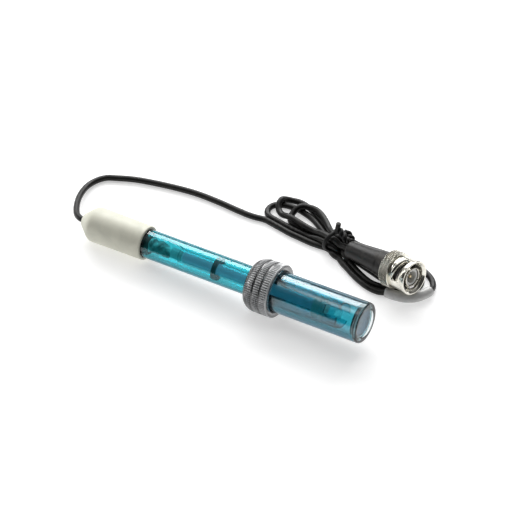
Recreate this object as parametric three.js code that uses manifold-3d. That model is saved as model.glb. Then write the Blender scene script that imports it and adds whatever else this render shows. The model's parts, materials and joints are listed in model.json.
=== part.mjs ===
// A laboratory pH electrode lying in its storage bottle, with its lead folded into a tied hank and
// ended by a bayonet plug. Millimetres, +Z up, everything resting on the plane z = 0.
// The electrode lies along +X, tip forwards; its lead runs out of the back and returns on the +Y side.
import * as THREE from "three";
import { mergeVertices } from "three/addons/utils/BufferGeometryUtils.js";
import Module from "manifold-3d";

const wasm = await Module();
wasm.setup();

// ---------------------------------------------------------------- driving dimensions

const GAP = 0.3; // left between pieces that touch on the real object
const SLIDE_FIT = 0.35; // radial room round the electrode for what slides along it

// Electrode. Lengths run from the back end of the cable cap.
const ELECTRODE_LENGTH = 122.5;
const BODY_RADIUS = 6;
const BODY_WALL = 1;
const BODY_IN_CAP = 16; // length of body tube inside the cable cap
const GUARD_LENGTH = 8.6; // slotted skirt round the glass bulb
const GUARD_SLOTS = 4;
const GUARD_SLOT_WIDTH = 3;
const GUARD_SLOT_DEPTH = 6;

const CAP_LENGTH = 31.3;
const CAP_LIP = 1.2; // how far the cap's front stands proud of the body
const CAP_TAPER = 0.2;
const CAP_NOSE_WALL = 1;
const CAP_NOSE_LENGTH = 6;

const STEM_RADIUS = 3;
const STEM_WALL = 0.6;
const STEM_SETBACK = 16.2; // from the cable cap's front to the open end of the glass stem
const BULB_SWELL = 0.6; // how much wider than the stem the bulb is
const BULB_NECK = 0.6; // how far in front of the seal the bulb starts
const SEAL_LENGTH = 3;
const RING_PLACE = 65; // centring ring on the stem
const RING_LENGTH = 1.6;
const WIRE_RADIUS = 0.3;

// Storage bottle and its screw cap.
const BOTTLE_ROOM = 1.25; // radial room for liquid round the electrode
const BOTTLE_WALL = 1.1;
const BOTTLE_FLOOR = 2.2;
const BOTTLE_RIM = 2.2; // width of the raised rim round the underside
const BOTTLE_RECESS = 0.8;
const TIP_ROOM = 7.7; // free length between electrode tip and bottle floor
const SCREW_CAP_WALL = 2.15;
const SCREW_CAP_LENGTH = 11.8;
const SCREW_CAP_BACK = 81.8; // where its back face stands on the electrode
const SCREW_CAP_ROOF = 2;
const SCREW_CAP_TAPER = 1.6; // how much smaller the back edge is than the full radius
const THREAD_ROOM = 0.5; // radial room between cap bore and bottle, for the thread
const RIBS = 60;
const RIB_DEPTH = 0.35;
const KNURL_GROOVE = 0.9;
const THRUST_RING_LENGTH = 1;
const O_RING_SECTION = 1.8;

// Lead.
const CORD_RADIUS = 1.3;
const CORD_SIDES = 8;
const SLEEVE_ROOM = 0.25;
const SLEEVE_WALL = 0.6;
const TIE_WIRE_RADIUS = 0.85;
const HANK_HEIGHT = 4.8;

// Bayonet plug. Lengths run forwards from the tail of its boot.
const PLUG_LENGTH = 35;
const NUT_LENGTH = 12.7;
const NUT_WALL = 1.55;
const SOCKET_ROOM = 1.45; // between the sprung contact and the nut, for the mating socket
const NUT_REAR_WALL = 2.9;
const KNURL_RISE = 0.5; // how far the knurled grip stands proud of the nut's sleeve
const KNURL_LENGTH = 4.4;
const KNURL_NECK_DEPTH = 0.5;
const KNURL_NECK_LENGTH = 1.1;
const KNURL_TEETH = 48;
const KNURL_DEPTH = 0.25;
const BAYONET_SLOT_RADIUS = 1.15;
const FERRULE_WALL = 1.6;
const SHELL_RADIUS = 4.1; // sprung outer contact
const SHELL_WALL = 0.55;
const BARREL_STEP = 0.5; // how much wider than the sprung contact the barrel that the nut turns on is
const CLIP_RISE = 0.35;
const INSULATOR_WALL = 0.95;
const INSULATOR_RECESS = 6;
const PIN_RADIUS = 0.68;
const BOOT_TAIL_WALL = 2.1;
const BOOT_FRONT_WALL = 0.45;
const NUT_TRAVEL = 0.7; // how far the nut is pushed forwards against its spring
const WASHER_THICKNESS = 0.3;
const WAVE_HEIGHT = 0.2; // of the spring washer, each way from its middle

const SIDES = 32;
const FINE_SIDES = 12;
const OVERCUT = 1; // how far a cutting shape runs past what it cuts

// ---------------------------------------------------------------- shape helpers

/** A closed three.js geometry as a solid that can be joined and cut. */
function solid(geometry) {
  const bare = geometry.clone();
  bare.deleteAttribute("normal");
  bare.deleteAttribute("uv");
  const merged = mergeVertices(bare, 1e-4);
  return new wasm.Manifold(
    new wasm.Mesh({
      numProp: 3,
      vertProperties: merged.attributes.position.array,
      triVerts: new Uint32Array(merged.index.array),
    }),
  );
}

/** A solid as a three.js geometry again. */
function geometryOf(made) {
  const mesh = made.getMesh();
  return new THREE.BufferGeometry()
    .setAttribute("position", new THREE.BufferAttribute(new Float32Array(mesh.vertProperties), 3))
    .setIndex(new THREE.BufferAttribute(new Uint32Array(mesh.triVerts), 1));
}

/** Turns an outline of [along, radius] points about the X axis; it need not repeat its first point. */
function turned(outline, sides = SIDES) {
  const points = outline.map(([along, radius]) => new THREE.Vector2(radius, along));
  const onAxis = points[0].x === 0 && points.at(-1).x === 0;
  if (!onAxis) points.push(points[0].clone());
  if (THREE.ShapeUtils.area(points) > 0) points.reverse();
  return new THREE.LatheGeometry(points.reverse(), sides).rotateZ(-Math.PI / 2);
}

/** A plain round bar along X. */
const bar = (from, to, radius, sides = SIDES) =>
  turned([[from, 0], [from, radius], [to, radius], [to, 0]], sides);

/** A plain tube along X. */
const pipe = (from, to, outer, inner, sides = SIDES) =>
  turned([[from, inner], [from, outer], [to, outer], [to, inner]], sides);

/** The points of an arc as [along, radius] pairs; angles in degrees from the +along direction. */
function arc(along, radius, size, fromDegrees, toDegrees, steps) {
  return Array.from({ length: steps + 1 }, (_, i) => {
    const angle = THREE.MathUtils.degToRad(fromDegrees + ((toDegrees - fromDegrees) * i) / steps);
    return [along + size * Math.cos(angle), radius + size * Math.sin(angle)];
  });
}

/** A round section, with an optional bore, swept along a curve. */
function swept(curve, radius, steps, sides = CORD_SIDES, bore = 0) {
  const circle = (r) => Array.from({ length: sides }, (_, i) => {
    const angle = (2 * Math.PI * i) / sides;
    return new THREE.Vector2(r * Math.cos(angle), r * Math.sin(angle));
  });
  const section = new THREE.Shape(circle(radius));
  if (bore > 0) section.holes.push(new THREE.Path(circle(bore)));
  return new THREE.ExtrudeGeometry(section, { extrudePath: curve, steps, bevelEnabled: false });
}

/** A smooth curve through points given as [x, y, z]. */
const curveThrough = (points) =>
  new THREE.CatmullRomCurve3(points.map((p) => new THREE.Vector3(...p)), false, "centripetal");

/** A wheel-like bar along X whose outline has rounded teeth. */
function toothed(from, to, radius, depth, teeth) {
  const corners = Array.from({ length: 2 * teeth }, (_, i) => {
    const angle = (Math.PI * i) / teeth;
    const r = i % 2 ? radius - depth : radius;
    return new THREE.Vector2(r * Math.cos(angle), r * Math.sin(angle));
  });
  return new THREE.ExtrudeGeometry(new THREE.Shape(corners), { depth: to - from, bevelEnabled: false })
    .rotateY(Math.PI / 2)
    .translate(from, 0, 0);
}

/** A block in the X, Y, Z ranges given. */
function block([x0, x1], [y0, y1], [z0, z1]) {
  return new THREE.BoxGeometry(x1 - x0, y1 - y0, z1 - z0)
    .translate((x0 + x1) / 2, (y0 + y1) / 2, (z0 + z1) / 2);
}

/** A flat outline of [x, y] points smoothed into a closed spline and raised to a height. */
function plate(outline, height, holes = []) {
  const smooth = (points) => new THREE.CatmullRomCurve3(
    points.map(([x, y]) => new THREE.Vector3(x, y, 0)), true, "centripetal",
  ).getPoints(2 * points.length).slice(0, -1).map((p) => new THREE.Vector2(p.x, p.y));
  const shape = new THREE.Shape(smooth(outline));
  holes.forEach((hole) => shape.holes.push(new THREE.Path(smooth(hole))));
  return new THREE.ExtrudeGeometry(shape, { depth: height, bevelEnabled: false });
}

// ---------------------------------------------------------------- materials

const finish = (color, roughness, metalness = 0, opacity = 1) =>
  new THREE.MeshStandardMaterial({ color, roughness, metalness, opacity, transparent: opacity < 1 });

const MATERIALS = {
  cream: finish(0xdcd9c6, 0.55),
  bluePlastic: finish(0x1790ae, 0.08, 0, 0.55),
  clearPlastic: finish(0xe8eef0, 0.06, 0, 0.35),
  glass: finish(0xd5e6ea, 0.03, 0, 0.35),
  silver: finish(0xc9c9c4, 0.3, 1),
  nickel: finish(0xc8c4b6, 0.25, 1),
  gold: finish(0xc9a04a, 0.3, 1),
  blackRubber: finish(0x1d1d1b, 0.6),
  cordJacket: finish(0x242422, 0.5),
  whiteSleeve: finish(0xd9d9d4, 0.5),
  whiteInsulator: finish(0xe4e2da, 0.45),
  epoxy: finish(0x2c4a46, 0.5),
  silicone: finish(0x39504f, 0.6),
  ceramic: finish(0xeeeae0, 0.8),
};

/** Adds a named piece to a group. */
function piece(group, name, shape, material) {
  const geometry = shape.isBufferGeometry ? shape : geometryOf(shape);
  const mesh = new THREE.Mesh(geometry, material);
  mesh.name = name;
  group.add(mesh);
  return mesh;
}

// ---------------------------------------------------------------- electrode

const capFrontRadius = BODY_RADIUS + CAP_LIP;
const capBackRadius = capFrontRadius + CAP_TAPER;
const bodyBack = CAP_LENGTH - BODY_IN_CAP;
const bodyBore = BODY_RADIUS - BODY_WALL;
const stemTop = CAP_LENGTH + STEM_SETBACK;
const bulbRadius = STEM_RADIUS + BULB_SWELL;
const junctionRadius = (bodyBore - STEM_RADIUS) / 2 - GAP;
const guardBack = ELECTRODE_LENGTH - GUARD_LENGTH;
const sealBack = guardBack - SEAL_LENGTH;
const cordEnd = bodyBack - GAP - 2; // end of the cord inside the cable cap
const plugFront = CAP_LENGTH + 1.5; // front face of the potting that closes the body tube

function bodyTube() {
  const outline = [
    [bodyBack, bodyBore], [bodyBack, BODY_RADIUS],
    [ELECTRODE_LENGTH - 0.5, BODY_RADIUS], [ELECTRODE_LENGTH, BODY_RADIUS - 0.5],
    [ELECTRODE_LENGTH, bodyBore],
  ];
  let tube = solid(turned(outline));
  for (let i = 0; i < GUARD_SLOTS / 2; i += 1) {
    const slot = block(
      [ELECTRODE_LENGTH - GUARD_SLOT_DEPTH, ELECTRODE_LENGTH + OVERCUT],
      [-GUARD_SLOT_WIDTH / 2, GUARD_SLOT_WIDTH / 2],
      [-BODY_RADIUS - OVERCUT, BODY_RADIUS + OVERCUT],
    ).rotateX(Math.PI / 4 + (2 * Math.PI * i) / GUARD_SLOTS);
    tube = tube.subtract(solid(slot));
  }
  return tube;
}

function cableCap() {
  const bore = BODY_RADIUS + GAP;
  const cordBore = CORD_RADIUS + GAP;
  const noseRadius = cordBore + CAP_NOSE_WALL;
  const round = 0.7;
  return turned([
    [0, cordBore], [0, noseRadius - 0.4], [0.4, noseRadius],
    [CAP_NOSE_LENGTH - 1.6, capBackRadius - 0.9], [CAP_NOSE_LENGTH - 0.6, capBackRadius - 0.2],
    [CAP_NOSE_LENGTH + 0.8, capBackRadius],
    [CAP_LENGTH - round, capFrontRadius], [CAP_LENGTH - 0.2, capFrontRadius - 0.2],
    [CAP_LENGTH, capFrontRadius - round],
    [CAP_LENGTH, bore], [bodyBack - GAP, bore], [bodyBack - GAP, cordBore],
  ]);
}

/** Hollow glass stem, open at the back, that swells into the sensing bulb. */
function glassStem() {
  const bulbPlace = guardBack + BULB_NECK + bulbRadius;
  const neckAngle = 180 - THREE.MathUtils.radToDeg(Math.asin(STEM_RADIUS / bulbRadius));
  const boreAngle = 180 - THREE.MathUtils.radToDeg(
    Math.asin((STEM_RADIUS - STEM_WALL) / (bulbRadius - STEM_WALL)),
  );
  const inner = arc(bulbPlace, 0, bulbRadius - STEM_WALL, 0, boreAngle, 7);
  const outer = arc(bulbPlace, 0, bulbRadius, neckAngle, 0, 8);
  inner[0][1] = 0;
  outer.at(-1)[1] = 0;
  return turned([
    ...inner, [stemTop, STEM_RADIUS - STEM_WALL], [stemTop, STEM_RADIUS], ...outer,
  ], 24);
}

/** Silver wire that wanders between the stem and the body. */
function referenceWire() {
  const lane = (STEM_RADIUS + bodyBore) / 2;
  const at = (along, degrees) => {
    const angle = THREE.MathUtils.degToRad(degrees);
    return [along, lane * Math.cos(angle), lane * Math.sin(angle)];
  };
  const beforeRing = (share) => RING_PLACE - share * (RING_PLACE - plugFront);
  const path = curveThrough([
    at(plugFront + GAP, 80), at(beforeRing(0.8), 62), at(beforeRing(0.6), 10),
    at(beforeRing(0.4), -25), at(beforeRing(0.12), -30), at(RING_PLACE + 3, -22),
    at(RING_PLACE + 11, -34), at(RING_PLACE + 25, -38),
  ]);
  return swept(path, WIRE_RADIUS, 36, 6);
}

function centringRing() {
  const wireRoom = 2.2;
  const ring = solid(pipe(
    RING_PLACE - RING_LENGTH / 2, RING_PLACE + RING_LENGTH / 2, bodyBore - GAP, STEM_RADIUS + GAP, 24,
  ));
  const notch = block(
    [RING_PLACE - RING_LENGTH, RING_PLACE + RING_LENGTH],
    [STEM_RADIUS - 1, bodyBore + OVERCUT], [-wireRoom / 2, wireRoom / 2],
  ).rotateX(THREE.MathUtils.degToRad(-27));
  return ring.subtract(solid(notch));
}

/** Front seal between stem and body, with a hole for the porous junction. */
function frontSeal() {
  const ring = solid(pipe(sealBack, guardBack, bodyBore - GAP, STEM_RADIUS + GAP, 24));
  return ring.subtract(solid(junctionBar(junctionRadius + 0.15, sealBack - 1, guardBack + 1)));
}

function junctionBar(radius, from, to) {
  return bar(from, to, radius, FINE_SIDES).translate(0, 0, -(STEM_RADIUS + bodyBore) / 2);
}

function buildElectrode(group) {
  const wireStart = plugFront + GAP;
  piece(group, "cable_cap", cableCap(), MATERIALS.cream);
  piece(group, "electrode_body", bodyTube(), MATERIALS.bluePlastic);
  piece(group, "cord_inner_end", bar(GAP, cordEnd, CORD_RADIUS, FINE_SIDES), MATERIALS.cordJacket);
  piece(group, "potting_plug", bar(bodyBack, plugFront, bodyBore - GAP, 24), MATERIALS.epoxy);
  piece(group, "solder_sleeve",
    bar(wireStart, wireStart + 5, 0.9, FINE_SIDES).translate(0, 0, -2.2), MATERIALS.blackRubber);
  piece(group, "glass_stem", glassStem(), MATERIALS.glass);
  piece(group, "stem_stopper",
    bar(stemTop - 4, stemTop + 1.5, STEM_RADIUS - STEM_WALL - 0.15, 16), MATERIALS.silicone);
  piece(group, "measuring_wire",
    bar(stemTop + 1.5 + GAP, guardBack + 2, WIRE_RADIUS, 8), MATERIALS.silver);
  piece(group, "reference_wire", referenceWire(), MATERIALS.silver);
  piece(group, "centring_ring", centringRing(), MATERIALS.silicone);
  piece(group, "front_seal", frontSeal(), MATERIALS.epoxy);
  piece(group, "reference_junction",
    junctionBar(junctionRadius, sealBack - 0.5, guardBack + 0.5), MATERIALS.ceramic);
}

// ---------------------------------------------------------------- storage bottle

const bottleBore = BODY_RADIUS + BOTTLE_ROOM;
const bottleRadius = bottleBore + BOTTLE_WALL;
const screwCapBore = bottleRadius + THREAD_ROOM;
const screwCapRadius = screwCapBore + SCREW_CAP_WALL;
const screwCapFront = SCREW_CAP_BACK + SCREW_CAP_LENGTH;
const thrustBack = SCREW_CAP_BACK + SCREW_CAP_ROOF + GAP;
const oRingBack = thrustBack + THRUST_RING_LENGTH + GAP;
const bottleMouth = oRingBack + O_RING_SECTION + GAP;
const bottleEnd = ELECTRODE_LENGTH + TIP_ROOM + BOTTLE_FLOOR;
const slidingBore = BODY_RADIUS + SLIDE_FIT;

function storageBottle() {
  const round = 0.9;
  return turned([
    [bottleMouth, bottleBore], [bottleMouth, bottleRadius],
    [bottleEnd - round, bottleRadius], [bottleEnd - 0.3, bottleRadius - 0.3],
    [bottleEnd, bottleRadius - round], [bottleEnd, bottleRadius - BOTTLE_RIM],
    [bottleEnd - BOTTLE_RECESS, bottleRadius - BOTTLE_RIM - 0.4], [bottleEnd - BOTTLE_RECESS, 0],
    [bottleEnd - BOTTLE_FLOOR, 0], [bottleEnd - BOTTLE_FLOOR, bottleBore - 0.6],
    [bottleEnd - BOTTLE_FLOOR - 0.6, bottleBore],
  ]);
}

/** Ribbed cap: three ribbed bands with two plain grooves, tapering at its back edge. */
function screwCap() {
  const envelope = solid(turned([
    [SCREW_CAP_BACK, 0], [SCREW_CAP_BACK, screwCapRadius - SCREW_CAP_TAPER],
    [SCREW_CAP_BACK + 1.4, screwCapRadius - 0.7], [SCREW_CAP_BACK + 4, screwCapRadius],
    [screwCapFront - 0.6, screwCapRadius], [screwCapFront, screwCapRadius - 0.6],
    [screwCapFront, 0],
  ]));
  const ribbed = solid(toothed(
    SCREW_CAP_BACK - OVERCUT, screwCapFront + OVERCUT, screwCapRadius + 0.01, RIB_DEPTH, RIBS,
  ));
  let cap = envelope.intersect(ribbed);
  for (const share of [0.36, 0.64]) {
    const from = SCREW_CAP_BACK + share * SCREW_CAP_LENGTH;
    const groove = pipe(
      from, from + KNURL_GROOVE, screwCapRadius + OVERCUT, screwCapRadius - RIB_DEPTH - 0.15, 36,
    );
    cap = cap.subtract(solid(groove));
  }
  const bore = turned([
    [SCREW_CAP_BACK - OVERCUT, 0], [SCREW_CAP_BACK - OVERCUT, slidingBore],
    [SCREW_CAP_BACK + SCREW_CAP_ROOF, slidingBore],
    [SCREW_CAP_BACK + SCREW_CAP_ROOF, screwCapBore],
    [screwCapFront + OVERCUT, screwCapBore], [screwCapFront + OVERCUT, 0],
  ]);
  return cap.subtract(solid(bore));
}

function sealRing() {
  const half = O_RING_SECTION / 2;
  const middle = slidingBore + half;
  return turned(arc(oRingBack + half, middle, half, 0, 315, 7), 24);
}

function buildBottle(group) {
  const thrustRing = pipe(thrustBack, thrustBack + THRUST_RING_LENGTH, bottleRadius, slidingBore, 24);
  piece(group, "storage_bottle", storageBottle(), MATERIALS.clearPlastic);
  piece(group, "storage_cap", screwCap(), MATERIALS.clearPlastic);
  piece(group, "cap_thrust_ring", thrustRing, MATERIALS.whiteInsulator);
  piece(group, "bottle_o_ring", sealRing(), MATERIALS.silicone);
}

// ---------------------------------------------------------------- bayonet plug

const barrelRadius = SHELL_RADIUS + BARREL_STEP;
const nutBore = SHELL_RADIUS + SOCKET_ROOM;
const nutRadius = nutBore + NUT_WALL;
const knurlRadius = nutRadius + KNURL_RISE;
const flangeRadius = nutBore - GAP;
const ferruleRadius = CORD_RADIUS + GAP + FERRULE_WALL;
const barrelRoom = barrelRadius + CLIP_RISE + GAP;
const bootTailRadius = CORD_RADIUS + GAP + BOOT_TAIL_WALL;
const bootFrontRadius = barrelRoom + BOOT_FRONT_WALL;
const nutBack = PLUG_LENGTH - NUT_LENGTH;
const nutCavityBack = nutBack + NUT_REAR_WALL;
const thrustWasherBack = nutCavityBack + 0.2;
const waveMiddle = thrustWasherBack + NUT_TRAVEL + 1.5 * WASHER_THICKNESS + WAVE_HEIGHT + 0.2;
const flangeBack = waveMiddle + WASHER_THICKNESS / 2 + WAVE_HEIGHT + GAP;
const flangeFront = flangeBack + 0.8;
const shellFront = PLUG_LENGTH - 0.9;
const shellBore = SHELL_RADIUS - SHELL_WALL;
const insulatorBack = flangeBack - 3;
const insulatorFront = shellFront - 0.6;
const barrelBack = nutBack - 5;
const clipBack = nutBack - GAP - 0.7;

/** Coupling nut: knurled grip, necked sleeve, and two bayonet slots that ramp back to a round detent. */
function couplingNut() {
  const knurlFront = nutBack + KNURL_LENGTH;
  const neckFront = knurlFront + KNURL_NECK_LENGTH;
  const knurl = solid(toothed(nutBack, knurlFront, knurlRadius, KNURL_DEPTH, KNURL_TEETH));
  const sleeve = solid(turned([
    [knurlFront - 0.5, 0], [knurlFront - 0.5, nutRadius - KNURL_NECK_DEPTH], [neckFront, nutRadius - KNURL_NECK_DEPTH],
    [neckFront + 0.4, nutRadius - 0.2], [PLUG_LENGTH - 1.6, nutRadius - 0.2],
    [PLUG_LENGTH - 1.3, nutRadius], [PLUG_LENGTH - 0.3, nutRadius], [PLUG_LENGTH, nutRadius - 0.3],
    [PLUG_LENGTH, 0],
  ]));
  const bore = solid(turned([
    [nutBack - OVERCUT, 0], [nutBack - OVERCUT, barrelRadius + 0.25],
    [nutCavityBack, barrelRadius + 0.25], [nutCavityBack, nutBore],
    [PLUG_LENGTH + OVERCUT, nutBore], [PLUG_LENGTH + OVERCUT, 0],
  ]));
  let nut = knurl.add(sleeve).subtract(bore);
  const slotSteps = 6;
  for (const half of [0, Math.PI]) {
    for (let i = 0; i <= slotSteps; i += 1) {
      const share = i / slotSteps;
      const radius = i === slotSteps ? BAYONET_SLOT_RADIUS + 0.3 : BAYONET_SLOT_RADIUS;
      const drill = bar(0, nutRadius + OVERCUT, radius, 10)
        .rotateY(-Math.PI / 2)
        .translate(PLUG_LENGTH - 2.9 - 2.2 * share, 0, 0)
        .rotateX(half + THREE.MathUtils.degToRad(75) * share);
      nut = nut.subtract(solid(drill));
    }
  }
  return nut;
}

/** Plug body: sprung contact fingers in front, a flange for the spring washer, and the barrel behind. */
function plugShell() {
  let shell = solid(turned([
    [barrelBack, shellBore], [barrelBack, barrelRadius],
    [clipBack - 0.15, barrelRadius], [clipBack - 0.15, barrelRadius - 0.5],
    [nutBack - GAP + 0.15, barrelRadius - 0.5], [nutBack - GAP + 0.15, barrelRadius],
    [flangeBack, barrelRadius], [flangeBack, flangeRadius],
    [flangeFront, flangeRadius], [flangeFront, SHELL_RADIUS], [shellFront - 0.4, SHELL_RADIUS],
    [shellFront, SHELL_RADIUS - 0.2], [shellFront, shellBore],
  ]));
  for (const degrees of [45, 135]) {
    const slit = block(
      [flangeFront + 1.6, shellFront + OVERCUT], [-0.2, 0.2], [-SHELL_RADIUS - OVERCUT, SHELL_RADIUS + OVERCUT],
    ).rotateX(THREE.MathUtils.degToRad(degrees));
    shell = shell.subtract(solid(slit));
  }
  return shell;
}

function insulator() {
  const outer = shellBore - 0.1;
  return turned([
    [insulatorBack, PIN_RADIUS + 0.1], [insulatorBack, outer], [insulatorFront, outer],
    [insulatorFront, outer - INSULATOR_WALL], [insulatorFront - INSULATOR_RECESS, outer - INSULATOR_WALL],
    [insulatorFront - INSULATOR_RECESS, PIN_RADIUS + 0.1],
  ], 24);
}

/** Wavy spring washer between the flange and the back wall of the nut. */
function springWasher() {
  const half = WASHER_THICKNESS / 2;
  const washer = pipe(waveMiddle - half, waveMiddle + half, flangeRadius, barrelRadius + 0.15, 24);
  const place = washer.attributes.position;
  for (let i = 0; i < place.count; i += 1) {
    const angle = Math.atan2(place.getZ(i), place.getY(i));
    place.setX(i, place.getX(i) + WAVE_HEIGHT * Math.cos(3 * angle));
  }
  return washer;
}

function retainingClip() {
  const clip = solid(pipe(clipBack, clipBack + 0.7, barrelRadius + CLIP_RISE, barrelRadius - CLIP_RISE, 24));
  return clip.subtract(solid(block(
    [clipBack - OVERCUT, clipBack + 0.7 + OVERCUT], [-0.9, 0.9], [0, barrelRadius + OVERCUT],
  )));
}

/** Long tapered rubber boot, hollow for the ferrule and the barrel. */
function boot() {
  const ferruleRoom = ferruleRadius + GAP;
  const bootFront = nutBack - GAP;
  return turned([
    [0, CORD_RADIUS + GAP], [0, bootTailRadius - 0.8], [0.8, bootTailRadius],
    [bootFront * 0.55, (bootTailRadius + bootFrontRadius) / 2],
    [bootFront - 3.2, bootFrontRadius - 0.1], [bootFront - 0.4, bootFrontRadius],
    [bootFront, bootFrontRadius - 0.3], [bootFront, barrelRoom],
    [barrelBack - GAP, barrelRoom], [barrelBack - GAP, ferruleRoom],
    [barrelBack - 6, ferruleRoom], [barrelBack - 6, CORD_RADIUS + GAP],
  ], 24);
}

function buildPlug(group) {
  const pinBack = insulatorBack - 1.5;
  const gasketBack = flangeFront + 0.15;
  piece(group, "plug_boot", boot(), MATERIALS.blackRubber);
  piece(group, "plug_cord_end", bar(GAP, barrelBack - 5.5, CORD_RADIUS, FINE_SIDES), MATERIALS.cordJacket);
  piece(group, "crimp_ferrule",
    pipe(barrelBack - 5.2, barrelBack - GAP, ferruleRadius, CORD_RADIUS + GAP, 16), MATERIALS.nickel);
  piece(group, "plug_shell", plugShell(), MATERIALS.nickel);
  piece(group, "plug_insulator", insulator(), MATERIALS.whiteInsulator);
  piece(group, "centre_pin", turned([
    [pinBack, 0], [pinBack, PIN_RADIUS], [insulatorFront - 1.4, PIN_RADIUS],
    [insulatorFront - 0.6, PIN_RADIUS * 0.5], [insulatorFront - 0.6, 0],
  ], FINE_SIDES), MATERIALS.gold);
  piece(group, "plug_gasket",
    pipe(gasketBack, gasketBack + 1.2, flangeRadius - 0.1, SHELL_RADIUS + 0.15, 20), MATERIALS.silicone);
  piece(group, "retaining_clip", retainingClip(), MATERIALS.nickel);
  piece(group, "spring_washer", springWasher(), MATERIALS.nickel);
  piece(group, "thrust_washer", pipe(
    thrustWasherBack, thrustWasherBack + WASHER_THICKNESS, flangeRadius, barrelRadius + 0.15, 24,
  ), MATERIALS.nickel);
  piece(group, "coupling_nut", couplingNut(), MATERIALS.nickel);
}

// ---------------------------------------------------------------- placing the electrode

const restingTilt = Math.atan(
  (screwCapRadius - capBackRadius) / (SCREW_CAP_BACK + 4 - CAP_NOSE_LENGTH),
);
const electrode = new THREE.Group();
buildElectrode(electrode);
buildBottle(electrode);
electrode.rotation.y = -restingTilt;
electrode.updateMatrixWorld(true);
const electrodeBox = new THREE.Box3().setFromObject(electrode, true);
electrode.position.set(-(electrodeBox.min.x + electrodeBox.max.x) / 2, 0, -electrodeBox.min.z);
electrode.updateMatrixWorld(true);

/** A point on the electrode's axis, in the part's frame. */
const onElectrode = (along) => electrode.localToWorld(new THREE.Vector3(along, 0, 0));

// ---------------------------------------------------------------- placing the lead
// Points of the lead are measured from where it leaves the cable cap, along X and Y, and from the
// standing plane along Z.

const exit = onElectrode(-GAP);
const LEAD_POINTS = [
  [-3.4, 1.1, 6.5], [-5.9, 3.4, 5.8], [-9.2, 8.2, 4.8], [-12.4, 14.8, 3.6], [-14.4, 22.3, 2.2],
  [-14, 28.2, 1.5], [-11.4, 32.6, 1.4], [-7.2, 35, 1.4], [-0.6, 38, 1.4], [6.8, 40.2, 1.4],
  [16.6, 42.4, 1.4], [27, 43.9, 1.4], [38.1, 44, 1.4], [47.6, 43.5, 1.4], [54.6, 43.6, 1.4],
];
const HANK_OUTLINE = [
  [55.8, 50], [55.6, 45.6], [57.4, 42.4], [61, 41.7], [66, 41.9], [73, 40.5], [80, 39.8], [87, 39.7], [93, 38.4],
  [99, 35], [107, 30.6], [116, 27.6], [124, 26.2], [132, 27], [138, 31], [141.6, 37.5],
  [140.6, 43.5], [136.6, 48.5], [128, 51.8], [116, 52.8], [106, 52.2], [98, 50.8], [93.6, 51],
  [88, 54.4], [82, 58.4], [76, 61.7], [69, 62.9], [62, 61.9], [58, 58.4], [56.8, 54.6],
];
const LEFT_HOLE = [
  [72, 54.6], [71.5, 52.6], [76, 51], [82, 50.2], [86, 49.6], [84, 52], [79.5, 54.6],
];
const RIGHT_HOLE = [
  [104, 44.4], [106, 40.2], [113, 37.8], [120, 36.6], [127, 35.6], [130, 39.5], [127, 44.5],
  [119, 46.4], [111, 46.6],
];
const SLEEVE_POINTS = [
  [124.8, 30.6, 2.2], [128.1, 30.8, 2.2], [132.3, 31.7, 2.2], [135.9, 33.9, 2.2],
  [138.2, 37.2, 2.2], [139.4, 40.4, 2.2],
];
const TIE_PLACE = [92.6, 44.6, 5.4];
const TIE_DIRECTION_DEGREES = -21;
const TIE_HALF_WIDTH = 5;
const PLUG_TAIL = [101.9, 41.6, 6.3];
const PLUG_YAW_DEGREES = -12.9;
const PLUG_PITCH_DEGREES = 9.6;

const leadGroup = new THREE.Group();
leadGroup.position.x = exit.x;

const straightOut = onElectrode(-GAP - CORD_RADIUS);
const leadCurve = curveThrough([
  [0, 0, exit.z], [straightOut.x - exit.x, 0, straightOut.z], ...LEAD_POINTS,
]);
piece(leadGroup, "cord_lead", swept(leadCurve, CORD_RADIUS, 44), MATERIALS.cordJacket);

const sleeveRadius = CORD_RADIUS + SLEEVE_ROOM + SLEEVE_WALL;
const sleeveCurve = curveThrough(SLEEVE_POINTS);
piece(leadGroup, "cord_sleeve",
  swept(sleeveCurve, sleeveRadius, 10, 10, sleeveRadius - SLEEVE_WALL), MATERIALS.whiteSleeve);

/** Places a shape built round the X axis at the tie, with X along the bundle. */
function atTie(geometry) {
  return geometry
    .rotateZ(THREE.MathUtils.degToRad(TIE_DIRECTION_DEGREES))
    .translate(...TIE_PLACE);
}

/** Wire tie: a loop round the bundle, a twisted pair over it, and one end left standing up. */
function wireTie() {
  const loopHeight = TIE_PLACE[2] - TIE_WIRE_RADIUS;
  const loop = new THREE.TorusGeometry(1, TIE_WIRE_RADIUS / TIE_HALF_WIDTH, 6, 20)
    .rotateY(Math.PI / 2)
    .scale(TIE_HALF_WIDTH, TIE_HALF_WIDTH, loopHeight);
  const top = loopHeight;
  const twist = (turn) => {
    const points = Array.from({ length: 9 }, (_, i) => {
      const angle = turn + (i * Math.PI) / 2.6;
      const off = 0.55 * TIE_WIRE_RADIUS;
      return [0.9 * i, 1.2 + off * Math.cos(angle) - 0.1 * i, top + 0.9 + off * Math.sin(angle) - 0.12 * i];
    });
    return curveThrough(points);
  };
  const stub = curveThrough([[0.2, 0, top], [0.1, 0.8, top + 2.2], [0, 1.4, top + 5.8]]);
  return solid(atTie(loop))
    .add(solid(atTie(swept(twist(0), TIE_WIRE_RADIUS, 16, 6))))
    .add(solid(atTie(swept(twist(Math.PI), TIE_WIRE_RADIUS, 16, 6))))
    .add(solid(atTie(swept(stub, TIE_WIRE_RADIUS, 5, 6))));
}

const plug = new THREE.Group();
buildPlug(plug);
const pitch = THREE.MathUtils.degToRad(PLUG_PITCH_DEGREES);
plug.rotation.set(0, -pitch, THREE.MathUtils.degToRad(PLUG_YAW_DEGREES), "ZYX");
plug.position.set(...PLUG_TAIL);
plug.updateMatrix();

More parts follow.
